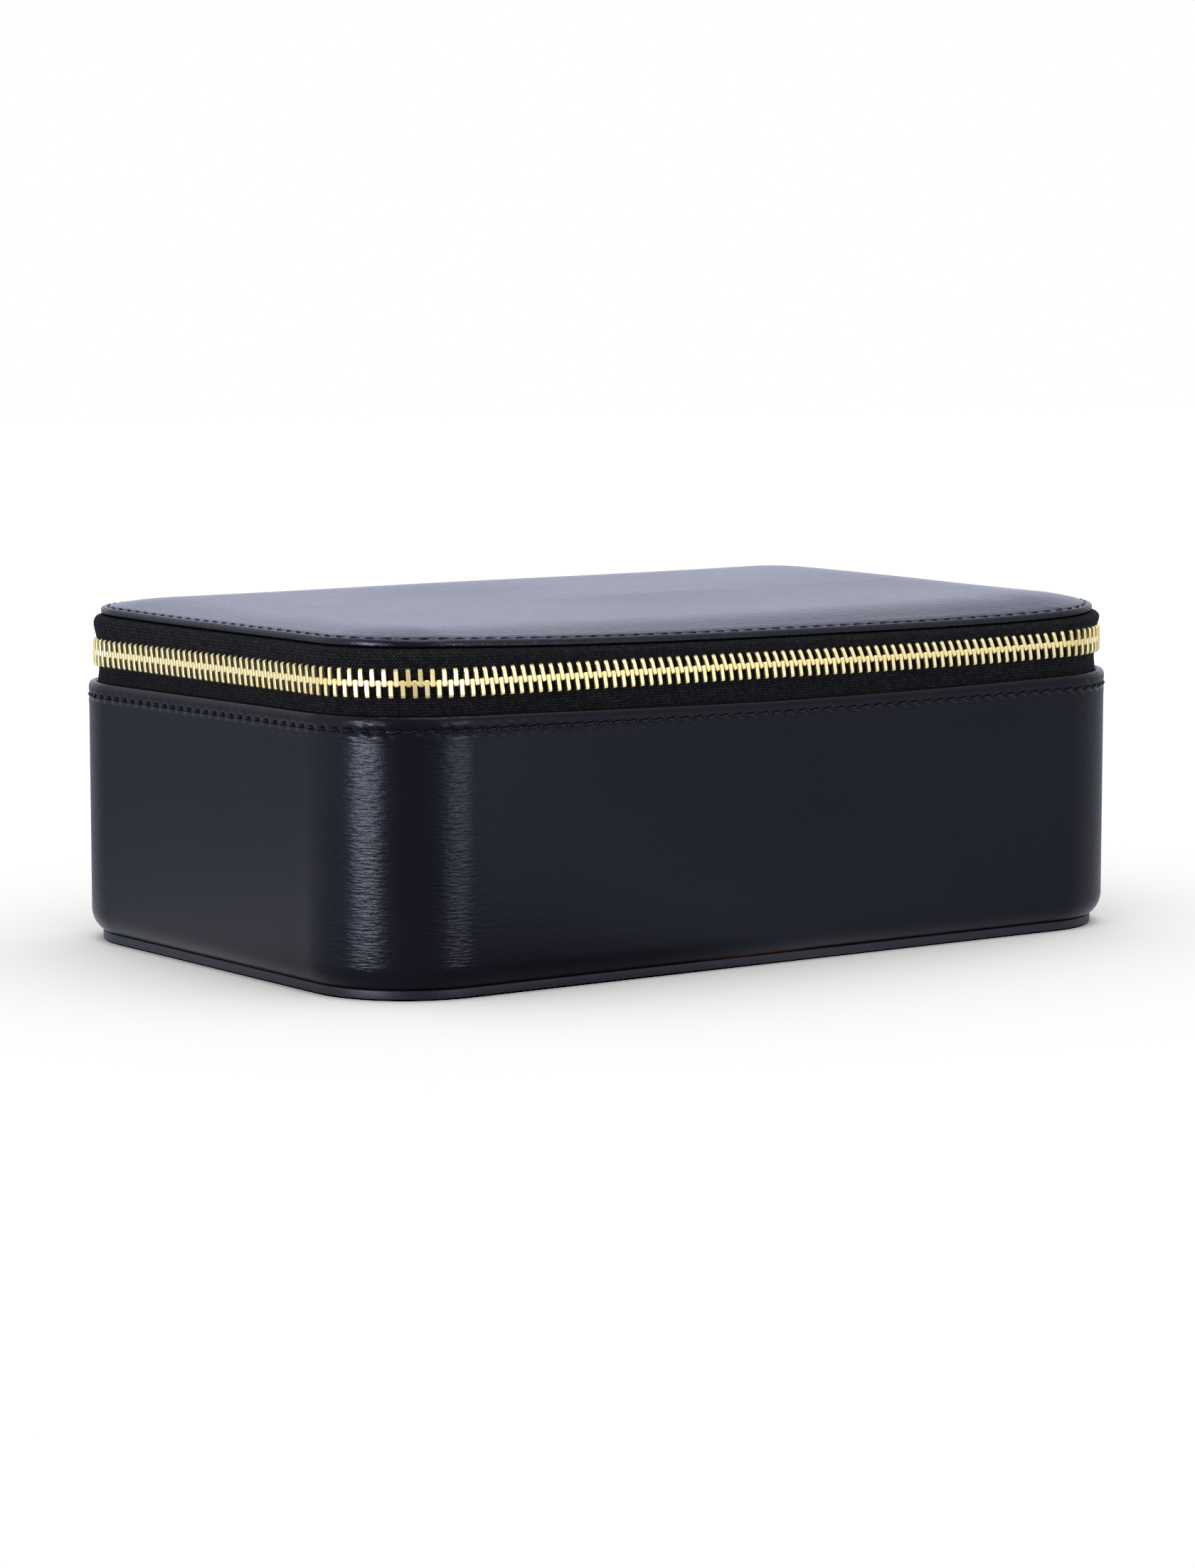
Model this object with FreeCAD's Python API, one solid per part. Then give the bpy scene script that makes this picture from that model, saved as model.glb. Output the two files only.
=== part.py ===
import FreeCAD, Part
import math
import os

# A leather jewellery case: a stiff box that a metal zip closes on three sides,
# with a padded lid that swings on a leather strip sewn in at the back.
# Millimetres. X runs along the case, Y towards the hinge, Z up from the table.

# Overall form
case_length = 220.0
case_width = 140.0
corner_radius = 26.0
least_corner_radius = 6.0

# Gaps: between layers that are glued or sewn, and between pieces that move
glue_line = 0.1
running_clearance = 0.4

# Base panel, a leather-covered plate under the box
base_thickness = 2.2
base_setback = 2.6
base_edge_round = 0.9

# Wall leather, wrapped round the box and turned under at the foot
wall_height = 57.7
wall_leather_thickness = 1.9
foot_turn_height = 5.0
foot_turn_depth = 2.6
turned_hem_width = 11.4
turned_hem_thickness = 1.2

# Boards and linings of the box
wall_board_thickness = 2.9
wall_lining_thickness = 1.0
floor_board_thickness = 2.5
floor_pad_thickness = 2.5
floor_pad_round = 1.0

# Inside fittings
divider_thickness = 3.0
divider_height = 40.0
long_divider_y = 2.0
front_divider_x = 26.0
back_divider_spacing = 70.0
ring_roll_count = 5
ring_roll_height = 15.0
ring_roll_gap = 0.5
ring_bed_height = 18.0

# Zip tape
tape_thickness = 0.9
tape_seam_depth = 12.0
tape_bend_radius = 1.5
tape_hem_width = 6.0
bare_tape_lower = 4.4
bare_tape_upper = 3.76

# Zip chain
chain_width = 5.84
tooth_pitch = 2.45
tooth_width = 1.0
tooth_thickness = 2.8
tooth_overlap = 1.26
tooth_leg_slope = 1.0
tooth_leg_tip = 0.14
tape_edge_offset = 1.0
tooth_grip_clearance = 0.05

# Zip ends
stop_length = 2.0
stop_margin = 0.6
row_spread = 1.43
spread_full_length = 2.5
spread_taper_length = 7.0

# Hinge strip
hinge_strip_width = 90.0
hinge_side_gap = 1.0
hinge_lining_thickness = 0.8

# Lid
lid_setback = 3.0
lid_edge_thickness = 2.3
lid_edge_round = 1.0
lid_crown = 1.8
lid_crown_run = 40.0
lid_crown_steps = 4
lid_border_width = 4.5
lid_skin_thickness = 1.1
lid_hem_width = 12.0
lid_foam_edge = 0.45
lid_board_thickness = 2.2
lid_lining_thickness = 1.0
lid_lining_round = 0.7

# Slider and pull
slider_length = 12.0
slider_shoulder = 4.5
slider_tail = 2.0
slider_plate_thickness = 0.8
slider_side_clearance = 0.16
slider_face_clearance = 0.2
slider_flange_thickness = 0.6
slider_tape_slot = 1.5
slider_corner_round = 0.8
post_half_width = 0.55
post_start = 0.3
post_straight = 2.7
post_length = 5.3
bail_wire = 1.4
bail_span = 6.4
bail_rise = 2.5
bail_bend_radius = 1.2
pull_eye_clearance = 0.25
pull_eye_wall = 1.0
pull_eye_width = 3.0
pull_length = 27.0
pull_width = 5.6
pull_thickness = 1.3
pull_end_round = 2.5

# Levels and insets that follow from the sizes above
half_length = case_length / 2
half_width = case_width / 2
straight_x = half_length - corner_radius
straight_y = half_width - corner_radius

wall_bottom = base_thickness + glue_line
rim_z = wall_bottom + wall_height
hem_top = wall_bottom + turned_hem_thickness
board_bottom = hem_top + glue_line
board_inset = wall_leather_thickness + glue_line
board_inner = board_inset + wall_board_thickness
lining_inset = board_inner + glue_line
lining_inner = lining_inset + wall_lining_thickness
room_inset = lining_inner + glue_line
lining_top = rim_z - glue_line
board_top = lining_top - wall_lining_thickness - glue_line
floor_top = board_bottom + floor_board_thickness
pad_bottom = floor_top + glue_line
pad_top = pad_bottom + floor_pad_thickness
fitting_bottom = pad_top + glue_line

tape_inset = wall_leather_thickness + glue_line
tape_inner = tape_inset + tape_thickness
rebate_inset = tape_inner + glue_line
tape_bottom = rim_z - tape_seam_depth
rebate_bottom = tape_bottom - glue_line
chain_inset = tape_inset + tape_thickness / 2
chain_half = chain_width / 2
chain_z = rim_z + bare_tape_lower + chain_half
chain_plane_y = half_width - chain_inset

lid_bottom = chain_z + chain_half + bare_tape_upper
lid_edge_top = lid_bottom + lid_edge_thickness
tape_hem_top = lid_bottom - glue_line
tape_hem_bottom = tape_hem_top - tape_thickness
tape_hem_end = lid_setback + tape_hem_width
lid_board_inset = tape_hem_end + glue_line
lid_board_top = lid_bottom - glue_line
lid_board_bottom = lid_board_top - lid_board_thickness
lid_lining_top = lid_board_bottom - glue_line

hinge_half = hinge_strip_width / 2
zip_end_x = hinge_half + hinge_side_gap
tail_length = straight_x - zip_end_x
slider_lead = stop_margin + stop_length + running_clearance
slider_start_x = zip_end_x + slider_lead
chain_end = slider_lead + tooth_width

Vector = FreeCAD.Vector
RIGHT = Vector(1, 0, 0)
BACK = Vector(0, 1, 0)
UP = Vector(0, 0, 1)
tolerance = 1e-6


# Shape helpers
def rounded_outline(inset, z):
    """The case's rounded-rectangle outline at height z, drawn in by inset."""
    radius = max(corner_radius - inset, least_corner_radius)
    reach_x = half_length - inset - radius
    reach_y = half_width - inset - radius
    arcs = []
    for side_x, side_y, start in ((1, -1, 270), (1, 1, 0), (-1, 1, 90), (-1, -1, 180)):
        centre = Vector(side_x * reach_x, side_y * reach_y, z)
        angles = [math.radians(start + turn) for turn in (0, 45, 90)]
        arcs.append([centre + Vector(math.cos(a), math.sin(a), 0) * radius for a in angles])
    edges = []
    for arc, following in zip(arcs, arcs[1:] + arcs[:1]):
        edges.append(Part.Arc(*arc).toShape())
        edges.append(Part.LineSegment(arc[2], following[0]).toShape())
    return Part.Wire(edges)


def slab(inset, bottom, top):
    """A plate with the case's outline, drawn in by inset."""
    return Part.Face(rounded_outline(inset, bottom)).extrude(UP * (top - bottom))


def dome(inset, bottom, rise, run):
    """A shallow crown that rises from its edge and levels out over the given run."""
    wires = []
    for step in range(lid_crown_steps):
        share = step / (lid_crown_steps - 1)
        wires.append(rounded_outline(inset + run * share, bottom + rise * (1 - (1 - share) ** 2)))
    return Part.makeLoft(wires, True, False)


def level_edges(shape, z):
    """The edges of a shape that lie flat at height z."""
    found = []
    for edge in shape.Edges:
        box = edge.BoundBox
        if max(abs(box.ZMin - z), abs(box.ZMax - z)) < tolerance:
            found.append(edge)
    return found


def edges_along(shape, axis):
    """The straight edges of a shape that run along X, Y or Z."""
    found = []
    for edge in shape.Edges:
        if isinstance(edge.Curve, Part.Line):
            direction = edge.tangentAt(edge.FirstParameter)
            if abs(direction.cross(axis).Length) < tolerance:
                found.append(edge)
    return found


def section(start, *moves):
    """A closed wall section from points given as inset and height; a pair of points is an arc."""
    def place(point):
        return Vector(-point[0], 0, point[1])
    edges = []
    here = start
    for move in moves + (start,):
        if isinstance(move[0], tuple):
            edges.append(Part.Arc(place(here), place(move[0]), place(move[1])).toShape())
            here = move[1]
        else:
            edges.append(Part.LineSegment(place(here), place(move)).toShape())
            here = move
    return Part.Face(Part.Wire(edges))


def polygon(points, y):
    """A flat face in an upright plane at y, from points given as x and z."""
    corners = [Vector(x, y, z) for x, z in points]
    return Part.Face(Part.makePolygon(corners + corners[:1]))


def arc_middle(centre, radius, degrees):
    """A point on an arc, as inset and height."""
    angle = math.radians(degrees)
    return (centre[0] + radius * math.cos(angle), centre[1] + radius * math.sin(angle))


# Runs round the case, anticlockwise from above, as (start, heading, length) on the wall's outer face;
# a corner has a length of None
def straight(x, y, heading, length):
    return (Vector(x, y, 0), heading, length)


def corner(side_x, side_y, heading):
    return (Vector(side_x * straight_x, side_y * straight_y, 0), heading, None)


front_run = straight(-straight_x, -half_width, 0, 2 * straight_x)
right_run = straight(half_length, -straight_y, 90, 2 * straight_y)
back_run = straight(straight_x, half_width, 180, 2 * straight_x)
left_run = straight(-half_length, straight_y, 270, 2 * straight_y)
front_right_corner = corner(1, -1, 0)
back_right_corner = corner(1, 1, 90)
back_left_corner = corner(-1, 1, 180)
front_left_corner = corner(-1, -1, 270)
right_tail = straight(straight_x, half_width, 180, tail_length)
left_tail = straight(-zip_end_x, half_width, 180, tail_length)
hinge_run = straight(hinge_half, half_width, 180, hinge_strip_width)

all_round = [front_run, front_right_corner, right_run, back_right_corner,
             back_run, back_left_corner, left_run, front_left_corner]
lid_zip_runs = [left_run, front_left_corner, front_run, front_right_corner, right_run]
left_end_runs = [left_tail, back_left_corner]
right_end_runs = [back_right_corner, right_tail]
zip_runs = left_end_runs + lid_zip_runs + right_end_runs


def heading_vector(heading):
    return Vector(math.cos(math.radians(heading)), math.sin(math.radians(heading)), 0)


def sweep(face, runs):
    """Carries a wall section along straight runs and round corners, as one solid."""
    pieces = []
    for origin, heading, length in runs:
        placed = face.copy()
        placed.rotate(Vector(), UP, heading - 90)
        if length is None:
            placed.translate(origin + heading_vector(heading - 90) * corner_radius)
            pieces.append(placed.revolve(origin, UP, 90))
        else:
            placed.translate(origin)
            pieces.append(placed.extrude(heading_vector(heading) * length))
    if len(pieces) == 1:
        return pieces[0]
    return pieces[0].multiFuse(pieces[1:]).removeSplitter()


def run_length(run):
    """Length of a run along the middle of the zip tape."""
    return (corner_radius - chain_inset) * math.pi / 2 if run[2] is None else run[2]


def chain_place(distance):
    """Point and heading on the chain at a distance from its left end."""
    for run in zip_runs:
        length = run_length(run)
        if distance <= length or run is zip_runs[-1]:
            break
        distance -= length
    origin, heading, straight_length = run
    if straight_length is None:
        turned = heading + 90 * distance / length
        return origin + heading_vector(turned - 90) * (corner_radius - chain_inset), turned
    start = origin - heading_vector(heading - 90) * chain_inset
    return start + heading_vector(heading) * distance, heading


chain_length = sum(run_length(run) for run in zip_runs)
left_end_length = sum(run_length(run) for run in left_end_runs)
right_end_length = sum(run_length(run) for run in right_end_runs)
spread_end = slider_lead + spread_full_length + spread_taper_length


def spread_at(distance):
    """How far each row stands off the middle, where the slider parts the rows."""
    left = chain_length - distance
    share = (spread_end - left) / spread_taper_length
    return row_spread * min(max(share, 0), 1)


# The box: base panel, floor, walls and lining
def base_panel():
    plate = slab(base_setback, 0, base_thickness)
    return plate.makeFillet(base_edge_round, level_edges(plate, 0) + level_edges(plate, base_thickness))


def wall_leather():
    rim_round = wall_leather_thickness / 2
    rim_centre = (rim_round, rim_z - rim_round)
    foot_radius = (foot_turn_depth ** 2 + foot_turn_height ** 2) / (2 * foot_turn_depth)
    foot_centre = (foot_radius, wall_bottom + foot_turn_height)
    foot_angle = 180 + math.degrees(math.asin(foot_turn_height / foot_radius)) / 2
    hem_end = foot_turn_depth + turned_hem_width
    return sweep(section(
        (hem_end, wall_bottom),
        (foot_turn_depth, wall_bottom),
        (arc_middle(foot_centre, foot_radius, foot_angle), (0, foot_centre[1])),
        (0, rim_centre[1]),
        (arc_middle(rim_centre, rim_round, 135), (rim_round, rim_z)),
        (arc_middle(rim_centre, rim_round, 45), (wall_leather_thickness, rim_centre[1])),
        (wall_leather_thickness, hem_top),
        (hem_end, hem_top)), all_round)


def wall_board():
    return sweep(section(
        (board_inset, board_bottom),
        (board_inset, rebate_bottom),
        (rebate_inset, rebate_bottom),
        (rebate_inset, board_top),
        (board_inner, board_top),
        (board_inner, board_bottom)), all_round)


def wall_lining():
    return sweep(section(
        (lining_inset, pad_bottom),
        (lining_inset, board_top + glue_line),
        (rebate_inset, board_top + glue_line),
        (rebate_inset, lining_top),
        (lining_inner, lining_top),
        (lining_inner, pad_bottom)), all_round)


def floor_board():
    return slab(board_inner + glue_line, board_bottom, floor_top)


def floor_pad():
    pad = slab(room_inset, pad_bottom, pad_top)
    return pad.makeFillet(floor_pad_round, level_edges(pad, pad_top))


# The fittings: dividers and ring rolls
room_x = half_length - room_inset
room_y = half_width - room_inset
front_bay_depth = room_y + long_divider_y - divider_thickness / 2
roll_width = (front_bay_depth - 2 * glue_line - (ring_roll_count - 1) * ring_roll_gap) / ring_roll_count


def round_topped_wall(length, thickness, height):
    """A wall along X with a rounded top, its left end at the origin."""
    radius = thickness / 2
    near = Vector(0, -radius, height - radius)
    far = Vector(0, radius, height - radius)
    crown = Part.Arc(near, UP * height, far)
    foot = Part.makePolygon([far, BACK * radius, BACK * -radius, near])
    return Part.Face(Part.Wire([crown.toShape()] + foot.Edges)).extrude(RIGHT * length)


def long_divider():
    wall = round_topped_wall(2 * room_x, divider_thickness, divider_height)
    wall.translate(Vector(-room_x, long_divider_y, fitting_bottom))
    return wall


def cross_divider(x, y_from, y_to):
    wall = round_topped_wall(y_to - y_from, divider_thickness, divider_height)
    wall.rotate(Vector(), UP, 90)
    wall.translate(Vector(x, y_from, fitting_bottom))
    return wall


def front_cross_divider():
    return cross_divider(front_divider_x, -room_y, long_divider_y - divider_thickness / 2 - glue_line)


def back_cross_divider(side):
    start = long_divider_y + divider_thickness / 2 + glue_line
    return cross_divider(side * back_divider_spacing / 2, start, room_y)


def ring_bay(inset, bottom, top):
    """The space left of the front divider, following the rounded corner of the room."""
    space = slab(room_inset + inset, bottom, top)
    left = -half_length
    right = front_divider_x - divider_thickness / 2 - glue_line - inset
    front = -half_width
    back = long_divider_y - divider_thickness / 2 - glue_line - inset
    window = Part.makeBox(right - left, back - front, top - bottom, Vector(left, front, bottom))
    return space.common(window)


def ring_bed():
    return ring_bay(0, fitting_bottom, fitting_bottom + ring_bed_height)


def ring_roll(number):
    bottom = fitting_bottom + ring_bed_height + glue_line
    length = front_divider_x - divider_thickness / 2 - glue_line + room_x
    roll = round_topped_wall(length, roll_width, ring_roll_height)
    y = -room_y + roll_width / 2 + number * (roll_width + ring_roll_gap)
    roll.translate(Vector(-room_x, y, bottom))
    return roll.common(ring_bay(0, bottom, bottom + ring_roll_height))


# The zip: tapes, teeth and stops
def tape_lower():
    tape = sweep(section(
        (tape_inset, tape_bottom),
        (tape_inset, chain_z - tape_edge_offset),
        (tape_inner, chain_z - tape_edge_offset),
        (tape_inner, tape_bottom)), zip_runs)
    return tape.cut(spread_wedge(-1))


def upper_section(bottom):
    """The tape or hinge strip that stands up to the lid and turns in under its edge."""
    bend = (tape_inset + tape_bend_radius, tape_hem_top - tape_bend_radius)
    inner_radius = tape_bend_radius - tape_thickness
    return section(
        (tape_inset, bottom),
        (tape_inset, bend[1]),
        (arc_middle(bend, tape_bend_radius, 135), (bend[0], tape_hem_top)),
        (tape_hem_end, tape_hem_top),
        (tape_hem_end, tape_hem_bottom),
        (bend[0], tape_hem_bottom),
        (arc_middle(bend, inner_radius, 135), (tape_inner, bend[1])),
        (tape_inner, bottom))


def tape_upper(runs):
    return sweep(upper_section(chain_z + tape_edge_offset), runs)


def spread_wedge(row):
    """The sliver that the slider's parted rows leave off the tape's edge at the right end."""
    edge = chain_z + row * tape_edge_offset
    spread = edge + row * row_spread
    full = slider_start_x + spread_full_length + tooth_width
    tip = full + spread_taper_length
    outline = [(zip_end_x, edge), (tip, edge), (full, spread), (zip_end_x, spread)]
    wedge = polygon(outline, chain_plane_y - tape_thickness)
    return wedge.extrude(BACK * 2 * tape_thickness)


def tooth(row, width):
    """One tooth, whose two legs clasp the tape's edge; row is 1 above and -1 below."""
    half = tooth_thickness / 2
    grip = tape_thickness / 2 + tooth_grip_clearance
    tip = -tooth_overlap / 2
    notch = tape_edge_offset - tooth_grip_clearance
    side = [(half, tip), (half, chain_half - tooth_leg_slope),
            (grip + tooth_leg_tip, chain_half), (grip, notch)]
    outline = side + [(-x, z) for x, z in reversed(side)]
    face = polygon([(x, row * z) for x, z in outline], -width / 2)
    return face.extrude(BACK * width)


def placed_on_chain(solid, row, distance):
    point, heading = chain_place(distance)
    matrix = FreeCAD.Matrix()
    matrix.rotateZ(math.radians(heading - 90))
    matrix.move(point + UP * (chain_z + row * spread_at(distance)))
    return solid.transformed(matrix, True)


tooth_count = int((chain_length - 2 * chain_end) / tooth_pitch)
tail_start = chain_length - run_length(right_tail)


def teeth(row, start, end):
    """The teeth of one row between two distances along the chain; the upper row sits half a pitch on."""
    shift = tooth_pitch / 2 if row > 0 else 0
    single = tooth(row, tooth_width)
    distances = [chain_end + shift + number * tooth_pitch for number in range(tooth_count)]
    return Part.makeCompound([placed_on_chain(single, row, d) for d in distances if start < d <= end])


def top_stop(row):
    return placed_on_chain(tooth(row, stop_length), row, chain_length - stop_margin - stop_length / 2)


def bottom_stop():
    """A clip that holds both tapes together at the left end of the chain."""
    half = tooth_thickness / 2
    grip = tape_thickness / 2 + tooth_grip_clearance
    notch = tape_edge_offset - tooth_grip_clearance
    quarter = [(half, chain_half), (grip, chain_half), (grip, notch)]
    upper = quarter + [(-x, z) for x, z in reversed(quarter)]
    outline = upper + [(-x, -z) for x, z in upper]
    clip = polygon(outline, -stop_length / 2).extrude(BACK * stop_length)
    return placed_on_chain(clip, 1, stop_margin + stop_length / 2)


# The hinge strip and its lining, which bend as the lid opens
def hinge_strip():
    return sweep(upper_section(tape_bottom), [hinge_run])


def hinge_lining():
    outer = tape_inner + glue_line
    inner = outer + hinge_lining_thickness
    bottom = lining_top + glue_line
    top = tape_hem_top - tape_bend_radius
    return sweep(section((outer, bottom), (outer, top), (inner, top), (inner, bottom)), [hinge_run])


# The lid: leather over foam, on a board, with a lined underside
def lid_cushion(ease):
    """The space under the lid leather, or the foam that fills it when eased by the glue line."""
    inset = lid_setback + lid_border_width + ease
    bottom = lid_bottom + lid_skin_thickness + ease
    edge = bottom + lid_foam_edge - 2 * ease
    rise = lid_edge_top + lid_crown - lid_skin_thickness - ease - edge
    run = lid_crown_run - lid_border_width
    upper = slab(inset, bottom, edge).fuse(dome(inset, edge, rise, run))
    lower = slab(lid_setback + lid_hem_width + ease, lid_bottom + ease, bottom)
    return upper.fuse(lower).removeSplitter()


def lid_leather():
    edge = slab(lid_setback, lid_bottom, lid_edge_top)
    edge = edge.makeFillet(lid_edge_round, level_edges(edge, lid_edge_top))
    crown = dome(lid_setback + lid_edge_round, lid_edge_top, lid_crown, lid_crown_run)
    return edge.fuse(crown).removeSplitter().cut(lid_cushion(0))


def lid_foam():
    return lid_cushion(glue_line)


def lid_board():
    return slab(lid_board_inset, lid_board_bottom, lid_board_top)


def lid_lining():
    bottom = lid_lining_top - lid_lining_thickness
    panel = slab(lid_board_inset, bottom, lid_lining_top)
    return panel.makeFillet(lid_lining_round, level_edges(panel, bottom))


# The slider, drawn with its leading end at the origin and the chain along X
slider_inside = tooth_thickness / 2 + slider_face_clearance
slider_outside = slider_inside + slider_plate_thickness
slider_overrun = slider_length / 10
slider_place = Vector(slider_start_x, chain_plane_y, chain_z)


def slider_outline(margin, overrun):
    """The slider's outline from the side, drawn in by margin and run past both ends."""
    tail = chain_half + slider_side_clearance + slider_flange_thickness - margin
    lead = tail + row_spread
    upper = [(-overrun, lead), (slider_shoulder, lead), (slider_length - slider_tail, tail),
             (slider_length + overrun, tail)]
    return upper + [(x, -z) for x, z in reversed(upper)]


def slider_body():
    plates = polygon(slider_outline(0, 0), -slider_outside).extrude(BACK * 2 * slider_outside)
    plates = plates.makeFillet(slider_corner_round, edges_along(plates, BACK))
    inside = slider_outline(slider_flange_thickness, slider_overrun)
    channel = polygon(inside, -slider_inside).extrude(BACK * 2 * slider_inside)
    slot_corner = Vector(-slider_length / 2, -slider_tape_slot / 2, -slider_length)
    slot = Part.makeBox(2 * slider_length, slider_tape_slot, 2 * slider_length, slot_corner)
    outline = [(post_start, -post_half_width), (post_start + post_straight, -post_half_width),
               (post_start + post_length, 0), (post_start + post_straight, post_half_width),
               (post_start, post_half_width)]
    post = polygon(outline, -slider_inside).extrude(BACK * 2 * slider_inside)
    body = plates.cut(channel).cut(slot).fuse(post).removeSplitter()
    body.translate(slider_place)
    return body


bail_middle = slider_length / 2
bail_height = slider_outside + bail_rise


def slider_bail():
    """A bent wire on the slider's outer plate that the pull hangs from."""
    left = bail_middle - bail_span / 2
    right = bail_middle + bail_span / 2
    bend = bail_bend_radius
    slant = bend * (1 - math.sqrt(0.5))
    edges = [
        Part.LineSegment(Vector(left, slider_outside, 0), Vector(left, bail_height - bend, 0)),
        Part.Arc(Vector(left, bail_height - bend, 0), Vector(left + slant, bail_height - slant, 0),
                 Vector(left + bend, bail_height, 0)),
        Part.LineSegment(Vector(left + bend, bail_height, 0), Vector(right - bend, bail_height, 0)),
        Part.Arc(Vector(right - bend, bail_height, 0), Vector(right - slant, bail_height - slant, 0),
                 Vector(right, bail_height - bend, 0)),
        Part.LineSegment(Vector(right, bail_height - bend, 0), Vector(right, slider_outside, 0))]
    path = Part.Wire([edge.toShape() for edge in edges])
    ring = Part.Wire([Part.makeCircle(bail_wire / 2, Vector(left, slider_outside, 0), BACK)])
    bail = path.makePipeShell([ring], True, False)
    bail.translate(slider_place)
    return bail


def pull_tab():
    """A flat tab with a knuckle that turns on the bail."""
    hole = bail_wire / 2 + pull_eye_clearance
    eye = hole + pull_eye_wall
    start = Vector(-pull_eye_width / 2, 0, 0)
    knuckle = Part.makeCylinder(eye, pull_eye_width, start, RIGHT)
    bore = Part.makeCylinder(hole, pull_eye_width, start, RIGHT)
    shoulder = eye + pull_eye_clearance
    blade_length = pull_length - shoulder
    blade_corner = Vector(-pull_width / 2, -pull_thickness / 2, -pull_length)
    blade = Part.makeBox(pull_width, pull_thickness, blade_length, blade_corner)
    foot = [edge for edge in edges_along(blade, BACK) if edge.BoundBox.ZMax < -pull_length / 2]
    blade = blade.makeFillet(pull_end_round, foot)
    neck_corner = Vector(-pull_eye_width / 2, -pull_thickness / 2, -2 * shoulder)
    neck = Part.makeBox(pull_eye_width, pull_thickness, 2 * shoulder, neck_corner)
    tab = blade.fuse([knuckle, neck]).cut(bore).removeSplitter()
    tab.translate(slider_place + Vector(bail_middle, bail_height, 0))
    return tab


# Every piece under the name of its node
pieces = {
    "base_panel": base_panel(),
    "wall_leather": wall_leather(),
    "wall_board": wall_board(),
    "wall_lining": wall_lining(),
    "floor_board": floor_board(),
    "floor_pad": floor_pad(),
    "long_divider": long_divider(),
    "front_cross_divider": front_cross_divider(),
    "back_cross_divider_left": back_cross_divider(-1),
    "back_cross_divider_right": back_cross_divider(1),
    "ring_bed": ring_bed(),
    "zip_tape_lower": tape_lower(),
    "zip_tape_upper": tape_upper(lid_zip_runs),
    "zip_tape_upper_left_end": tape_upper(left_end_runs),
    "zip_tape_upper_right_end": tape_upper(right_end_runs).cut(spread_wedge(1)),
    "zip_teeth_lower": teeth(-1, 0, tail_start),
    "zip_teeth_lower_tail": teeth(-1, tail_start, chain_length),
    "zip_teeth_upper": teeth(1, left_end_length, chain_length - right_end_length),
    "zip_teeth_upper_left_end": teeth(1, 0, left_end_length),
    "zip_teeth_upper_right_end": teeth(1, chain_length - right_end_length, chain_length),
    "zip_bottom_stop": bottom_stop(),
    "zip_top_stop_lower": top_stop(-1),
    "zip_top_stop_upper": top_stop(1),
    "hinge_strip": hinge_strip(),
    "hinge_lining": hinge_lining(),
    "lid_leather": lid_leather(),
    "lid_foam": lid_foam(),
    "lid_board": lid_board(),
    "lid_lining": lid_lining(),
    "slider_body": slider_body(),
    "slider_bail": slider_bail(),
    "pull_tab": pull_tab(),
}
for number in range(ring_roll_count):
    pieces[f"ring_roll_{number + 1}"] = ring_roll(number)

os.makedirs("parts", exist_ok=True)
for node, shape in pieces.items():
    shape.exportStep(f"parts/{node}.step")
    print(node, len(shape.Solids), shape.isValid(), round(shape.Volume, 2))
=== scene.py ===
import math

import bmesh
import bpy
import numpy as np
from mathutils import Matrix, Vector


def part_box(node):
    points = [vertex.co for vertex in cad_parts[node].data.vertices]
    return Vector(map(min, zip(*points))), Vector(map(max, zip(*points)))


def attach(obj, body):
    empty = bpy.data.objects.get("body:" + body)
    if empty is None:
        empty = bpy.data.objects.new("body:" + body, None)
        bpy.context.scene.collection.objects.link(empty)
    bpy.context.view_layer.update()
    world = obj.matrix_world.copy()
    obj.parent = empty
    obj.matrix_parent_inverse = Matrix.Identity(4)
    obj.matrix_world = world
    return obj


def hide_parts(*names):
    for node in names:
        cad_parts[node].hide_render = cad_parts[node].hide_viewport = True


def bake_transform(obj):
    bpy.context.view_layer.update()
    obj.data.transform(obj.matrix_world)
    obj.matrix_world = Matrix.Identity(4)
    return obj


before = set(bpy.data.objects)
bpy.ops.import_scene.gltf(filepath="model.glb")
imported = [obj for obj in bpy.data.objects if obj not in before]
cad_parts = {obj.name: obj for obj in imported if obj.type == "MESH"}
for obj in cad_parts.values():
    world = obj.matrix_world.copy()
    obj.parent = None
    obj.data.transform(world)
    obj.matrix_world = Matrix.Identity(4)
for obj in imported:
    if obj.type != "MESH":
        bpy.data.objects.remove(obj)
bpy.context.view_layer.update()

# Base panel: a stiff plate wrapped in smooth black leather and glued under the box.
# Its rounded edge stands back from the wall, which leaves a dark groove round the foot.
mm = 0.001
wall_low, wall_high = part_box("wall_leather")
base_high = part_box("base_panel")[1]
half_length = wall_high.x
half_width = wall_high.y
corner_radius = 26 * mm
least_radius = 6 * mm
base_setback = half_length - base_high.x
base_edge_round = 0.35 * mm

side_x = half_length - corner_radius
side_y = half_width - corner_radius
quarter = corner_radius * math.pi / 2
stretches = (side_x, quarter, 2 * side_y, quarter, 2 * side_x, quarter, 2 * side_y, quarter, side_x)
marks = np.concatenate([[0], np.cumsum(stretches)])
girth = marks[-1]
mark_x = (0, -1, -1, -1, -1, 1, 1, 1, 1, 0)
mark_y = (1, 1, 1, -1, -1, -1, -1, 1, 1, 1)
mark_angle = np.radians((90, 90, 180, 180, 270, 270, 360, 360, 450, 450))


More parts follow.
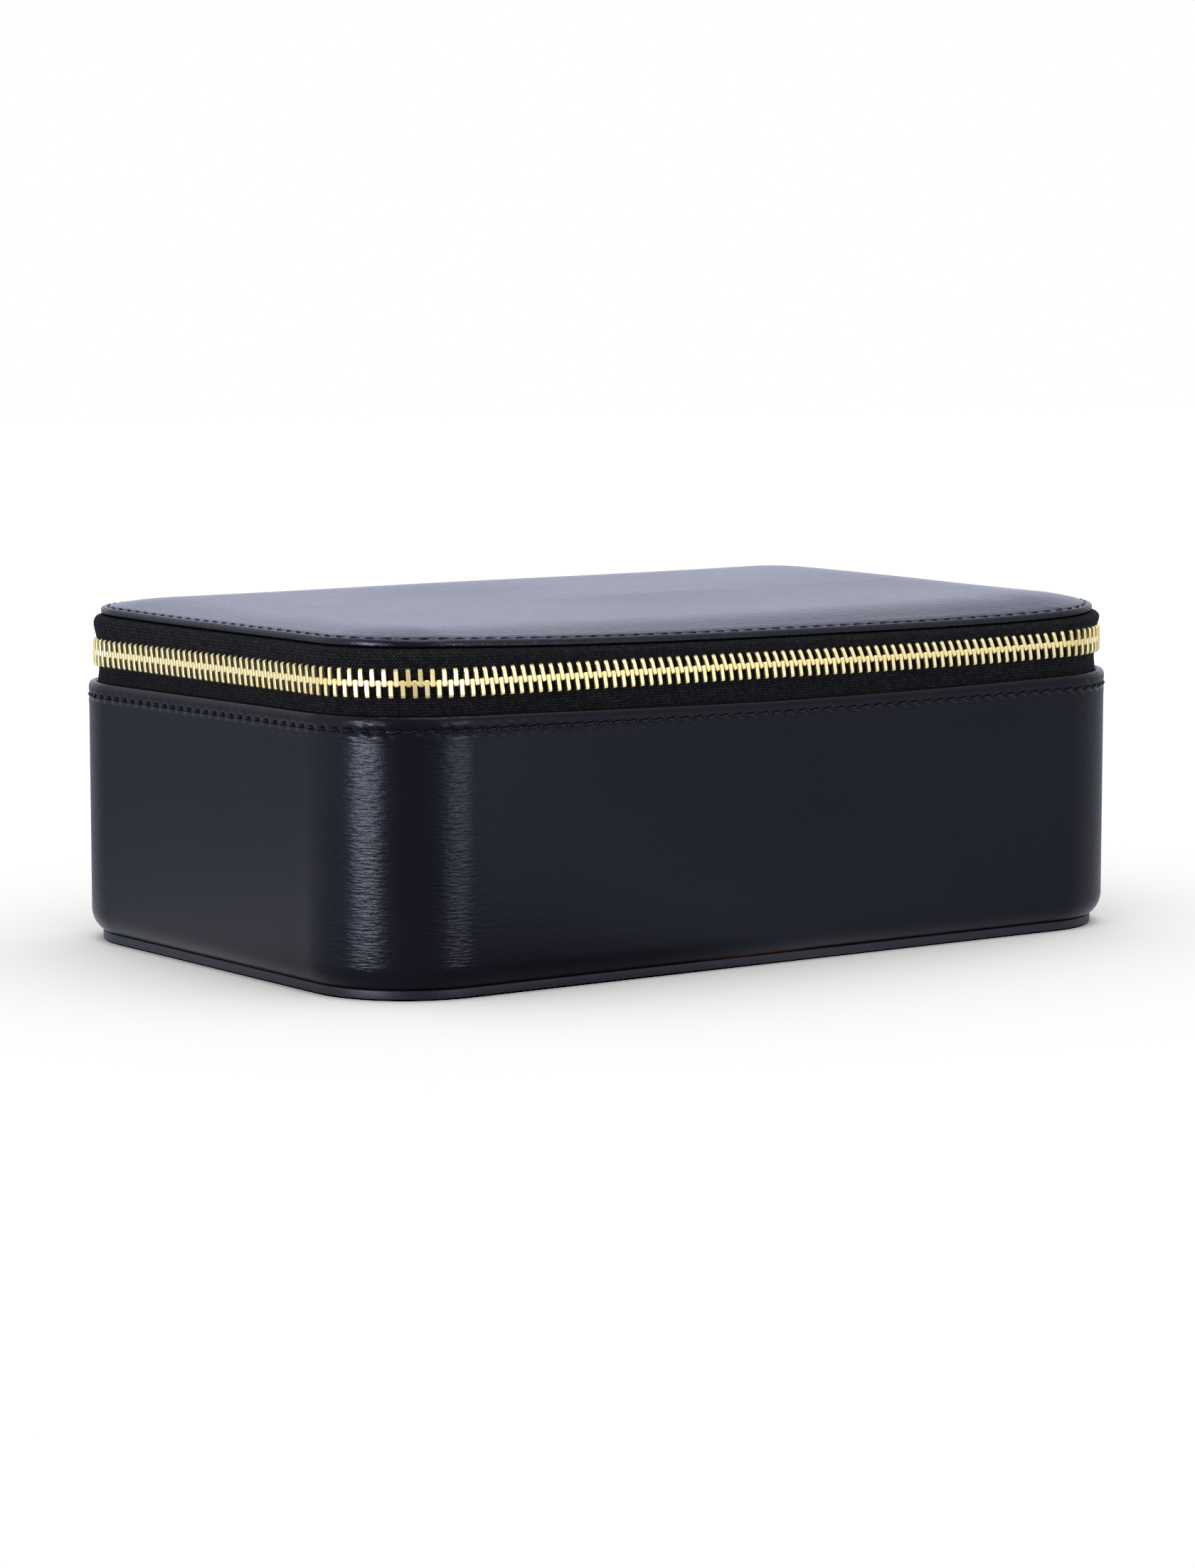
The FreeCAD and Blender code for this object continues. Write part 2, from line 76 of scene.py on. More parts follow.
def around(distance, inset, height):
    """Points on the case's outline, by distance from the middle of its back, drawn in by inset."""
    distance = np.mod(distance, girth + 1e-9)
    radius = np.minimum(np.maximum(corner_radius - inset, least_radius), half_width - inset)
    angle = np.interp(distance, marks, mark_angle)
    x = np.interp(distance, marks, mark_x) * (half_length - inset - radius) + radius * np.cos(angle)
    y = np.interp(distance, marks, mark_y) * (half_width - inset - radius) + radius * np.sin(angle)
    return np.stack(np.broadcast_arrays(x, y, height), -1)


def arc(centre, radius, start, end, steps):
    """Section points on an arc, as inset and height; degrees, where 0 points inwards and 90 up."""
    angles = np.radians(np.linspace(start, end, steps))
    return [(centre[0] + radius * math.cos(a), centre[1] + radius * math.sin(a)) for a in angles]


def put(name, data):
    """Adds an object to the scene."""
    made = bpy.data.objects.new(name, data)
    bpy.context.scene.collection.objects.link(made)
    return made


def skin(name, points, along, across, ring=True, tube=True, capped=False):
    """A smooth mesh over a grid of points: rows go round the case and columns across the piece.
    Its UV map holds the distances along and across, in metres."""
    rows, columns = points.shape[:2]
    i, j = np.meshgrid(np.arange(rows - (not ring)), np.arange(columns - (not tube)), indexing="ij")
    steps = ((0, 0), (1, 0), (1, 1), (0, 1))
    corners = [(i + a) % rows * columns + (j + b) % columns for a, b in steps]
    faces = np.stack(corners, -1).reshape(-1, 4).tolist()
    uv = [np.stack([along[i + a], across[j + b]], -1) for a, b in steps]
    uv = np.stack(uv, 2).reshape(-1, 2)
    if capped and tube:
        faces.append(list(range(columns))[::-1])
        faces.append([(rows - 1) * columns + j for j in range(columns)])
    if capped and not tube:
        faces.append([i * columns for i in range(rows)][::-1])
        faces.append([i * columns + columns - 1 for i in range(rows)])
    mesh = bpy.data.meshes.new(name)
    mesh.from_pydata(points.reshape(-1, 3).tolist(), [], faces)
    layer = mesh.uv_layers.new(name="UVMap")
    flat = np.zeros((len(mesh.loops), 2), np.float32)
    flat[: len(uv)] = uv
    layer.data.foreach_set("uv", flat.ravel())
    mesh.polygons.foreach_set("use_smooth", [True] * len(mesh.polygons))
    return put(name, mesh)


def travel(section):
    """Distance along a section from its first point, with the closing step last."""
    section = np.asarray(section)
    steps = np.linalg.norm(np.diff(np.vstack([section, section[:1]]), axis=0), axis=1)
    return np.concatenate([[0], np.cumsum(steps)])


def plate(name, section, step):
    """A plate with the case's outline; its section runs from the underside over the edge to the top."""
    distance = np.arange(0, girth, step)
    inset, height = np.array(section).T
    points = around(distance[:, None], inset[None], height[None])
    return skin(name, points, np.append(distance, girth), travel(section), tube=False, capped=True)


def fill(tree, inputs, values):
    """Sets a node's inputs; each takes a value or the output that feeds it."""
    for key, value in values.items():
        if isinstance(value, bpy.types.NodeSocket):
            tree.links.new(value, inputs[key])
        else:
            inputs[key].default_value = value


def add(tree, kind, inputs=None, **settings):
    """Adds a node with its settings and inputs."""
    made = tree.nodes.new(kind)
    for name, value in settings.items():
        setattr(made, name, value)
    fill(tree, made.inputs, inputs or {})
    return made


def calc(tree, operation, *values):
    """The output of a Math node."""
    return add(tree, "ShaderNodeMath", dict(enumerate(values)), operation=operation).outputs[0]


def mix(tree, share, first, second):
    """The output of a colour mix."""
    return add(tree, "ShaderNodeMix", {0: share, 6: first, 7: second}, data_type="RGBA").outputs[2]


def stretched_noise(tree, vector, scale, detail=2.0):
    """Noise whose cells have a length along each axis; scale is cells per metre on each axis."""
    mapped = add(tree, "ShaderNodeMapping", {"Vector": vector, "Scale": scale}).outputs[0]
    made = add(tree, "ShaderNodeTexNoise", {"Vector": mapped, "Scale": 1.0, "Detail": detail})
    return made.outputs["Fac"]


def group(name, numbers, results):
    """An empty shader group that takes a vector and named numbers and gives named results.
    Returns it with the sockets of its two end nodes."""
    tree = bpy.data.node_groups.new(name, "ShaderNodeTree")
    tree.interface.new_socket("Vector", in_out="INPUT", socket_type="NodeSocketVector")
    for labels, way in ((numbers, "INPUT"), (results, "OUTPUT")):
        for label in labels:
            tree.interface.new_socket(label, in_out=way, socket_type="NodeSocketFloat")
    return tree, tree.nodes.new("NodeGroupInput").outputs, tree.nodes.new("NodeGroupOutput").inputs


pore_weight = 0.45
crease_weight = 3.6
cloud_share = 0.6


def leather_grain_group():
    """Pebbled grain and pores; creases come up where the leather is bent."""
    tree, given, out = group("leather_grain", ("Bend",), ("Height", "Gloss", "Tone"))
    pebbles = stretched_noise(tree, given["Vector"], (420, 900, 900))
    creases = stretched_noise(tree, given["Vector"], (330, 1700, 1700), 3.0)
    pores = stretched_noise(tree, given["Vector"], (3200, 3600, 3600))
    cloud = stretched_noise(tree, given["Vector"], (22, 30, 30))
    creased = calc(tree, "MULTIPLY", creases, given["Bend"])
    fine = calc(tree, "MULTIPLY_ADD", pores, pore_weight, pebbles)
    clouded = calc(tree, "MULTIPLY", cloud, cloud_share)
    fill(tree, out, {
        "Height": calc(tree, "MULTIPLY_ADD", creased, crease_weight, fine),
        "Gloss": calc(tree, "MULTIPLY_ADD", pebbles, 1 - cloud_share, clouded),
        "Tone": calc(tree, "MULTIPLY_ADD", pores, 1 - cloud_share, clouded)})
    return tree


leather_grain = leather_grain_group()
leather_dark = (0.0015, 0.0016, 0.0032, 1)
leather_light = (0.0038, 0.0041, 0.0076, 1)
leather_tint = (0.7, 0.75, 1.0, 1)
gloss_spread = 0.16
grain_strength = 0.6
# Painted shade for the stitch holes: near black where a real hole would lie in shade.
painted_hole_shade = (0.0008, 0.0008, 0.001, 1)
hole_roughness = 0.6
hole_depth = 8.0


def new_material(name):
    """A material with its tree, its shader and its texture coordinates."""
    material = bpy.data.materials.new(name)
    material.use_nodes = True
    tree = material.node_tree
    return material, tree, tree.nodes["Principled BSDF"].inputs, add(tree, "ShaderNodeTexCoord").outputs


def bump(tree, height, distance, strength):
    """The output of a Bump node; distance is the relief's depth in metres."""
    made = add(tree, "ShaderNodeBump", {"Height": height, "Distance": distance, "Strength": strength})
    return made.outputs[0]


def leather(name, coordinates, roughness, relief, shine=0.18, holes=None):
    """Smooth black leather with a navy cast; the grain follows UV or Object coordinates.
    A sewn piece gives its row of stitch holes, dented in the relief and coloured near black as painted
    shade."""
    material, tree, shader, given = new_material(name)
    bend = add(tree, "ShaderNodeAttribute", attribute_name="bend").outputs["Fac"]
    made = add(tree, "ShaderNodeGroup", {"Vector": given[coordinates], "Bend": bend},
               node_tree=leather_grain).outputs
    colour = mix(tree, made["Tone"], leather_dark, leather_light)
    spread = calc(tree, "MULTIPLY_ADD", made["Gloss"], gloss_spread, roughness - gloss_spread / 2)
    height = made["Height"]
    if holes:
        sewn = add(tree, "ShaderNodeGroup", {"Vector": given["UV"], **holes}, node_tree=stitch_holes)
        hole = sewn.outputs["Hole"]
        # Painted shade: each stitch hole is coloured near black instead of being shaded by its depth.
        colour = mix(tree, hole, colour, painted_hole_shade)
        spread = calc(tree, "MULTIPLY_ADD", hole, hole_roughness, spread)
        height = calc(tree, "MULTIPLY_ADD", hole, -hole_depth, height)
    fill(tree, shader, {
        "Base Color": colour, "Roughness": spread, "Normal": bump(tree, height, relief, grain_strength),
        "Specular IOR Level": shine, "Specular Tint": leather_tint})
    return material


panel_leather = leather("panel_leather", "Object", roughness=0.45, relief=0.05 * mm, shine=0.5)


def settle(piece, slot, body, *nodes):
    """Sets a piece on its body in place of its CAD nodes; its slot is not used."""
    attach(piece, body)
    if nodes:
        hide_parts(*nodes)


def finish_piece(piece, material, slot, body, *nodes):
    """Gives a piece its material and settles it."""
    piece.data.materials.append(material)
    settle(piece, slot, body, *nodes)


base_top = base_high.z
panel_middle = 55 * mm
base_section = (
    [(panel_middle, 0)]
    + arc((base_setback + base_edge_round, base_edge_round), base_edge_round, 270, 180, 7)
    + arc((base_setback + base_edge_round, base_top - base_edge_round), base_edge_round, 180, 90, 7)
    + [(panel_middle, base_top)])
base_panel = plate("base_panel_leather", base_section, 1.2 * mm)
finish_piece(base_panel, panel_leather, "case_leather", "base", "base_panel")

# Wall leather: one band of leather round the box, rolled in at the foot and folded over the rim.
# A slanted row of black thread below the rim sews it to the zip tape and dents it at each hole.
wall_bottom = wall_low.z
rim_z = wall_high.z
wall_thickness = 1.9 * mm
foot_turn_height = 5.0 * mm
foot_turn_depth = 2.6 * mm
hem_depth = 14 * mm
hem_thickness = 1.2 * mm
wall_seam_drop = 3.0 * mm
wall_seam_z = rim_z - wall_seam_drop
wall_stitch_pitch = girth / round(girth / (3.65 * mm))
seam_zone = 3.0 * mm
seam_step = 0.2 * mm
dent_depth = 0.32 * mm
dent_along = 0.8 * mm
dent_across = 0.7 * mm
dent_slant = 0.8
crease_depth = 0.16 * mm
crease_reach = 0.55 * mm
bulge_height = 0.08 * mm
bulge_offset = 1.3 * mm
bulge_reach = 0.8 * mm
bulge_pulled = 0.6
sag_start = 46 * mm
rim_end_rise = 0.5 * mm
rim_middle_drop = 0.6 * mm
rim_zip_share = 0.45
zip_rise = 1.6 * mm
zip_rise_x = (25 * mm, 110 * mm)
zip_rise_y = (20 * mm, -50 * mm)
bend_fade = 8 * mm


def ramp(value, start, end):
    """0 up to the start, 1 from the end on, and rising evenly between them."""
    return np.clip((value - start) / (end - start), 0, 1)


def bell(value, reach):
    """1 at zero, falling off to either side within about a reach."""
    return np.exp(-(value / reach) ** 2)


def bend_share(distance):
    """1 round a corner, 0 along a straight side."""
    middles = (marks[1:-1:2] + marks[2:-1:2]) / 2
    apart = np.abs(np.mod(distance, girth)[..., None] - middles).min(-1)
    return ramp(apart, (quarter + bend_fade) / 2, (quarter - bend_fade) / 2)


def end_rise(points):
    """How far the soft zip rides up towards the near right corner."""
    along = ramp(points[..., 0], *zip_rise_x) ** 2
    return zip_rise * along * ramp(points[..., 1], *zip_rise_y)


def wall_lift(points):
    """How the wall's upper part departs from level: its rim bows up at the ends of the case and down
    half way along, and goes up in part with the zip."""
    bow = np.cos(np.pi * points[..., 0] / (2 * half_length)) ** 2
    rim = rim_end_rise - (rim_end_rise + rim_middle_drop) * bow + rim_zip_share * end_rise(points)
    return ramp(points[..., 2], sag_start, rim_z) ** 2 * rim

def wall_section():
    """The band's section: along the hem, up the outside, over the rim and down the inside."""
    foot_radius = (foot_turn_depth ** 2 + foot_turn_height ** 2) / (2 * foot_turn_depth)
    foot_angle = 180 + math.degrees(math.asin(foot_turn_height / foot_radius))
    foot_centre = (foot_radius, wall_bottom + foot_turn_height)
    rim_round = wall_thickness / 2
    rim_centre = (rim_round, rim_z - rim_round)
    face = [(0, z) for z in np.linspace(foot_centre[1], wall_seam_z - seam_zone, 12)[1:]]
    seam_start = wall_seam_z - seam_zone + 2 * seam_step
    seam = [(0, z) for z in np.arange(seam_start, rim_centre[1] - seam_step / 2, seam_step)]
    inside = [(wall_thickness, z) for z in np.linspace(rim_centre[1], wall_bottom + hem_thickness, 6)[1:]]
    hem = [(hem_depth, wall_bottom + hem_thickness), (hem_depth, wall_bottom)]
    return hem + arc(foot_centre, foot_radius, foot_angle, 180, 10) + face + seam + arc(
        rim_centre, rim_round, 180, 0, 10) + inside


wall_outline = np.array(wall_section())
wall_face = np.flatnonzero(wall_outline[:, 0] == 0)
wall_across = travel(wall_outline)
wall_seam_across = float(np.interp(wall_seam_z, wall_outline[wall_face, 1], wall_across[wall_face]))


def wall_band():
    """The band, dented at each stitch hole and creased along its seam; it notes where it is bent."""
    inset, height = wall_outline.T
    distance = np.linspace(0, girth, 1200, endpoint=False)
    below = (height - wall_seam_z)[None]
    moved = distance[:, None] + dent_slant * below + wall_stitch_pitch / 2
    hole = bell(np.mod(moved, wall_stitch_pitch) - wall_stitch_pitch / 2, dent_along)
    dent = dent_depth * hole * bell(below, dent_across)
    crease = crease_depth * bell(below, crease_reach)
    bulge = bulge_height * bell(np.abs(below) - bulge_offset, bulge_reach) * (1 - bulge_pulled * hole)
    outside = (inset < 0.1 * mm)[None]
    points = around(distance[:, None], inset[None] + outside * (dent + crease - bulge), height[None])
    points[..., 2] += wall_lift(points)
    piece = skin("wall_leather_band", points, np.append(distance, girth), wall_across)
    bend = np.broadcast_to(bend_share(distance)[:, None], points.shape[:2]).astype(np.float32)
    piece.data.attributes.new("bend", "FLOAT", "POINT").data.foreach_set("value", bend.ravel())
    return piece


hole_rim = 1.6


def squared_share(tree, value, reach):
    """The square of a value's share of a reach."""
    share = calc(tree, "DIVIDE", value, reach)
    return calc(tree, "MULTIPLY", share, share)


def stitch_holes_group():
    """A row of slanted holes along a seam, a pitch apart; Hole is 1 inside them."""
    tree, given, out = group("stitch_holes", ("Pitch", "Seam", "Slant", "Length", "Width"), ("Hole",))
    parts = add(tree, "ShaderNodeSeparateXYZ", {0: given["Vector"]}).outputs
    across = calc(tree, "SUBTRACT", parts[1], given["Seam"])
    moved = calc(tree, "MULTIPLY_ADD", across, given["Slant"], parts[0])
    turns = calc(tree, "DIVIDE", moved, given["Pitch"])
    apart = calc(tree, "SUBTRACT", turns, calc(tree, "ROUND", turns))
    apart = calc(tree, "MULTIPLY", apart, given["Pitch"])
    outside = calc(tree, "ADD", squared_share(tree, apart, given["Width"]),
                   squared_share(tree, across, given["Length"]))
    inside = add(tree, "ShaderNodeClamp", {0: calc(tree, "SUBTRACT", hole_rim, outside)}).outputs[0]
    tree.links.new(inside, out["Hole"])
    return tree


stitch_holes = stitch_holes_group()
wall_holes = {"Pitch": wall_stitch_pitch, "Seam": wall_seam_across, "Slant": 0.7, "Length": 0.42 * mm,
              "Width": 0.24 * mm}
wall_leather = leather("wall_leather", "UV", roughness=0.23, relief=0.06 * mm, shine=0.195,
                       holes=wall_holes)
raw_edge_middle = (-7.5 * mm, -half_width, wall_bottom)
raw_edge_reach = (20 * mm, 10 * mm, 0.75 * mm)
raw_edge_brown = (0.06, 0.014, 0.007, 1)
raw_edge_limit = 1.3
raw_edge_wear = 0.8
raw_edge_sharpness = 2.5


def vector_calc(tree, operation, *values):
    """The outputs of a Vector Math node."""
    return add(tree, "ShaderNodeVectorMath", dict(enumerate(values)), operation=operation).outputs


def bare_edge(material):
    """Lets brown leather show along a short stretch of the foot, where the black dye stops short."""
    tree = material.node_tree
    colour = tree.nodes["Principled BSDF"].inputs["Base Color"]
    dyed = colour.links[0].from_socket
    place = add(tree, "ShaderNodeTexCoord").outputs["Object"]
    apart = vector_calc(tree, "SUBTRACT", place, raw_edge_middle)[0]
    away = vector_calc(tree, "LENGTH", vector_calc(tree, "DIVIDE", apart, raw_edge_reach)[0])["Value"]
    worn = stretched_noise(tree, place, (700, 700, 2500))
    inside = calc(tree, "SUBTRACT", raw_edge_limit, calc(tree, "MULTIPLY_ADD", worn, raw_edge_wear, away))
    bare = add(tree, "ShaderNodeClamp", {0: calc(tree, "MULTIPLY", inside, raw_edge_sharpness)})
    tree.links.new(mix(tree, bare.outputs[0], dyed, raw_edge_brown), colour)


bare_edge(wall_leather)
finish_piece(wall_band(), wall_leather, "case_leather", "base", "wall_leather")


def row_tree():
    """Sets copies of a piece along a path, a pitch apart, leaning by the path's own tilt.
    Near the path's end the row may be lifted."""
    tree = bpy.data.node_groups.new("row_on_path", "GeometryNodeTree")
    kinds = {"Geometry": "Geometry", "Piece": "Object", "Count": "Int", "Material": "Material"}
    kinds.update(dict.fromkeys(("Start", "Pitch", "Lift", "Lift Start", "Lift End"), "Float"))
    for label, kind in kinds.items():
        tree.interface.new_socket(label, in_out="INPUT", socket_type="NodeSocket" + kind)
    tree.interface.new_socket("Geometry", in_out="OUTPUT", socket_type="NodeSocketGeometry")
    given = tree.nodes.new("NodeGroupInput").outputs
    index = tree.nodes.new("GeometryNodeInputIndex").outputs[0]
    reach = calc(tree, "MULTIPLY_ADD", index, given["Pitch"], given["Start"])
    tilt = tree.nodes.new("GeometryNodeInputCurveTilt").outputs[0]
    sample = add(tree, "GeometryNodeSampleCurve", {
        "Curves": given["Geometry"], "Value": tilt, "Length": reach}, mode="LENGTH").outputs
    lift = add(tree, "ShaderNodeMapRange", {
        "Value": reach, "From Min": given["Lift Start"], "From Max": given["Lift End"],
        "To Min": 0.0, "To Max": given["Lift"]}).outputs[0]
    lift = add(tree, "ShaderNodeCombineXYZ", {"Z": lift}).outputs[0]
    raised = vector_calc(tree, "ADD", sample["Position"], lift)[0]
    points = add(tree, "GeometryNodePoints", {"Count": given["Count"], "Position": raised}).outputs[0]
    turned = add(tree, "FunctionNodeAlignRotationToVector", {"Vector": sample["Tangent"]},
                 axis="X", pivot_axis="Z").outputs[0]
    lean = add(tree, "ShaderNodeCombineXYZ", {"Y": sample["Value"]}).outputs[0]
    lean = add(tree, "FunctionNodeEulerToRotation", {0: lean}).outputs[0]
    leaning = add(tree, "FunctionNodeRotateRotation", {0: turned, 1: lean}, rotation_space="LOCAL")
    piece = add(tree, "GeometryNodeObjectInfo", {"Object": given["Piece"]}).outputs["Geometry"]
    placed = add(tree, "GeometryNodeInstanceOnPoints", {
        "Points": points, "Instance": piece, "Rotation": leaning.outputs[0]}).outputs[0]
    solid = add(tree, "GeometryNodeRealizeInstances", {0: placed}).outputs[0]
    dressed = add(tree, "GeometryNodeSetMaterial", {"Geometry": solid, "Material": given["Material"]})
    tree.links.new(dressed.outputs[0], tree.nodes.new("NodeGroupOutput").inputs[0])
    return tree


row_on_path = row_tree()


def row(name, points, piece, material, lean=None, **values):
    """A plain mesh of copies of a piece along a line of points, made by the row tree."""
    curve = bpy.data.curves.new(name + "_path", "CURVE")
    curve.dimensions = "3D"
    spline = curve.splines.new("POLY")
    spline.points.add(len(points) - 1)
    spline.points.foreach_set("co", np.column_stack([points, np.ones(len(points))]).ravel())
    spline.points.foreach_set("tilt", np.zeros(len(points)) if lean is None else lean)
    guide = put(name + "_guide", curve)
    modifier = guide.modifiers.new("row", "NODES")
    modifier.node_group = row_on_path
    values = {"Piece": piece, "Material": material, **values}
    for socket in row_on_path.interface.items_tree:
        if socket.in_out == "INPUT" and socket.name in values:
            modifier[socket.identifier] = values[socket.name]
    graph = bpy.context.evaluated_depsgraph_get()
    mesh = bpy.data.meshes.new_from_object(guide.evaluated_get(graph), depsgraph=graph)
    bpy.data.objects.remove(guide)
    mesh.name = name
    return put(name, mesh)


def stitch(name, length, thickness, arch, slant, outward):
    """One stitch along X: a short thread that rises out of its hole, bows outwards and dips again."""
    rings, sides = 7, 6
    along = np.linspace(-0.5, 0.5, rings)
    outward = np.array(outward, float)
    sideways = np.cross((1, 0, 0), outward)
    turn = np.linspace(0, 2 * math.pi, sides, endpoint=False)
    girth_share = np.array((0.45, 0.85, 1, 1, 1, 0.85, 0.45))
    centre = np.outer(along * length, (1, 0, 0)) + np.outer(along * slant, (0, 0, 1))
    centre = centre + np.outer(arch * (1 - (2 * along) ** 2), outward)
    spoke = np.cos(turn)[:, None] * outward + np.sin(turn)[:, None] * sideways
    points = centre[:, None] + spoke[None] * (girth_share * thickness / 2)[:, None, None]
    made = skin(name, points, along * length, np.arange(sides + 1) / sides, ring=False, capped=True)
    made.hide_render = True
    return made


def thread_material():
    """Waxed black thread: two strands laid round each other, seen as fine slanted ridges, with painted
    shade darkening the grooves between the strands.
    """
    material, tree, shader, given = new_material("black_thread")
    turned = add(tree, "ShaderNodeMapping", {"Vector": given["UV"], "Scale": (2400, 2, 1)}).outputs[0]
    parts = add(tree, "ShaderNodeSeparateXYZ", {0: turned}).outputs
    lay = calc(tree, "SINE", calc(tree, "MULTIPLY", calc(tree, "ADD", parts[0], parts[1]), 2 * math.pi))
    # Painted shade: the colour follows the lay, darker in the grooves between the strands and lighter on
    # their crests.
    tone = calc(tree, "MULTIPLY_ADD", lay, 0.5, 0.5)
    fill(tree, shader, {
        "Base Color": mix(tree, tone, (0.001, 0.001, 0.0014, 1), (0.004, 0.004, 0.006, 1)),
        "Normal": bump(tree, lay, 0.03 * mm, 0.5), "Roughness": 0.36, "Specular IOR Level": 0.2})
    return material


black_thread = thread_material()
wall_stitch = stitch("wall_stitch", length=2.7 * mm, thickness=0.46 * mm, arch=0.22 * mm,
                     slant=0.45 * mm, outward=(0, -1, 0))
wall_stitch_sink = 0.12 * mm
seam_distance = np.linspace(0, girth, 1400)
wall_seam = around(seam_distance, wall_stitch_sink, wall_seam_z)
wall_seam[:, 2] += wall_lift(wall_seam)
wall_stitching = row("wall_stitching", wall_seam, wall_stitch, black_thread, Pitch=wall_stitch_pitch,
                     Count=round(girth / wall_stitch_pitch), Start=wall_stitch_pitch / 2)
settle(wall_stitching, "zip_tape", "base")

# Boards: plain grey pulp board, cut to size, that stiffens the walls, the floor and the lid.
# They are wrapped on every side and only show as the part is taken to bits.


def board_material():
    """Grey board: pressed fibres with pale and dark flecks."""
    material, tree, shader, given = new_material("grey_board")
    flecks = stretched_noise(tree, given["Object"], (900, 900, 900), 6.0)
    fill(tree, shader, {
        "Base Color": mix(tree, flecks, (0.26, 0.25, 0.23, 1), (0.42, 0.41, 0.38, 1)),
        "Normal": bump(tree, flecks, 0.1 * mm, 0.4), "Roughness": 0.9})
    return material


grey_board = board_material()


def dress(node, material):
    """Gives a CAD node its material."""
    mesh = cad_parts[node].data
    mesh.materials.clear()
    mesh.materials.append(material)


for board in ("wall_board", "floor_board", "lid_board"):
    dress(board, grey_board)

# Lining and floor pad: taupe microsuede, glued round the inside of the walls and over a thin floor pad.
# The lining folds over the top of the board and ends under the rim.
lining_low, lining_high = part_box("wall_lining")
pad_low, pad_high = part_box("floor_pad")
lining_inset = 5.0 * mm
lining_inner = 6.0 * mm
lining_flange = half_length - lining_high.x
lining_fold = 0.9 * mm
lining_lip = 1.0 * mm
nap_share = 0.45


def suede_material(name, dark, light):
    """Microsuede: a short nap with soft brushed patches and a faint sheen."""
    material, tree, shader, given = new_material(name)
    nap = stretched_noise(tree, given["Object"], (5200, 5200, 5200))
    brushed = stretched_noise(tree, given["Object"], (60, 45, 60), 3.0)
    tone = calc(tree, "MULTIPLY_ADD", nap, nap_share, calc(tree, "MULTIPLY", brushed, 1 - nap_share))
    fill(tree, shader, {
        "Base Color": mix(tree, tone, dark, light), "Normal": bump(tree, nap, 0.12 * mm, 0.5),
        "Roughness": 0.92, "Sheen Weight": 0.35, "Specular IOR Level": 0.2})
    return material


suede = suede_material("taupe_suede", (0.20, 0.155, 0.12, 1), (0.34, 0.275, 0.22, 1))


def band(name, section, start, end, step, lift=None):
    """A closed section carried along the case's outline, right round it or between two distances.
    A lift tells how far each point departs from level."""
    whole = end - start >= girth
    distance = np.linspace(start, end, int((end - start) / step), endpoint=not whole)
    inset, height = np.array(section).T
    points = around(distance[:, None], inset[None], height[None])
    if lift:
        points[..., 2] += lift(points)
    along = np.append(distance, end) if whole else distance
    return skin(name, points, along, travel(section), ring=whole, capped=not whole)


lining_section = (
    [(lining_inset, lining_low.z), (lining_inset, lining_high.z - lining_lip),
     (lining_flange, lining_high.z - lining_lip), (lining_flange, lining_high.z)]
    + arc((lining_inner - lining_fold, lining_high.z - lining_fold), lining_fold, 90, 0, 6)
    + [(lining_inner, z) for z in np.linspace(lining_high.z - lining_fold, lining_low.z, 9)[1:]])
lining = band("wall_lining_suede", lining_section, 0, girth, 1.5 * mm)
finish_piece(lining, suede, "lining_suede", "base", "wall_lining")

pad_inset = half_length - pad_high.x
pad_round = 1.0 * mm
pad_sink = 0.5 * mm
pad_slope_run = 12 * mm
pad_slope_drop = 0.1 * mm
pad_section = (
    [(panel_middle, pad_low.z), (pad_inset, pad_low.z)]
    + arc((pad_inset + pad_round, pad_high.z - pad_sink - pad_round), pad_round, 180, 90, 6)
    + [(pad_inset + pad_slope_run, pad_high.z - pad_slope_drop), (panel_middle, pad_high.z)])
floor_pad = plate("floor_pad_suede", pad_section, 2 * mm)
finish_piece(floor_pad, suede, "lining_suede", "base", "floor_pad")

# Dividers: thin padded walls covered in the same suede, with rounded tops.
# They stand on the floor pad and split the room into a ring bay and four open bays.
room_inset = 6.1 * mm
room_corner = (-side_x, -side_y)
room_corner_radius = corner_radius - room_inset
bar_step = 2 * mm
bar_end_run = 3 * mm


def round_topped(name, low, high, shoulder, swell, cross):
    """A padded bar with a rounded top that fills a box, clear of the room's front left corner."""
    size = high - low
    width = size.x if cross else size.y
    length = size.y if cross else size.x
    turn = np.radians(np.linspace(0, 180, 17))
    top_x = width / 2 * np.cos(turn)
    top_z = size.z - shoulder + shoulder * np.sin(turn)
    side = np.linspace(top_z[-1], 0.2 * mm, 7)[1:]
    section_x = np.concatenate([top_x, np.full(len(side), -width / 2), np.full(len(side), width / 2)])
    section_z = np.concatenate([top_z, side, side[::-1]])
    share = np.linspace(0, 1, max(int(length / bar_step), 24))
    ends = np.minimum(share, 1 - share) * length
    full = 1 - swell * np.exp(-ends / bar_end_run)
    along = np.broadcast_to(share[:, None] * length, (len(share), len(section_x)))
    aside = full[:, None] * section_x[None]
    up = full[:, None] * section_z[None]
    if cross:
        points = np.stack([low.x + width / 2 + aside, low.y + along, low.z + up], -1)[::-1]
    else:
        points = np.stack([low.x + along, low.y + width / 2 + aside, low.z + up], -1)
    drop = np.clip(room_corner[1] - points[..., 1], 0, room_corner_radius)
    least_x = room_corner[0] - np.sqrt(room_corner_radius ** 2 - drop ** 2)
    points[..., 0] = np.where(drop > 0, np.maximum(points[..., 0], least_x), points[..., 0])
    section = np.column_stack([section_x, section_z])
    return skin(name, points, share * length, travel(section), ring=False, capped=True)


for node in ("long_divider", "front_cross_divider", "back_cross_divider_left", "back_cross_divider_right"):
    low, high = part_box(node)
    divider = round_topped(node + "_suede", low, high, 1.5 * mm, 0.02, node != "long_divider")
    finish_piece(divider, suede, "lining_suede", "base", node)

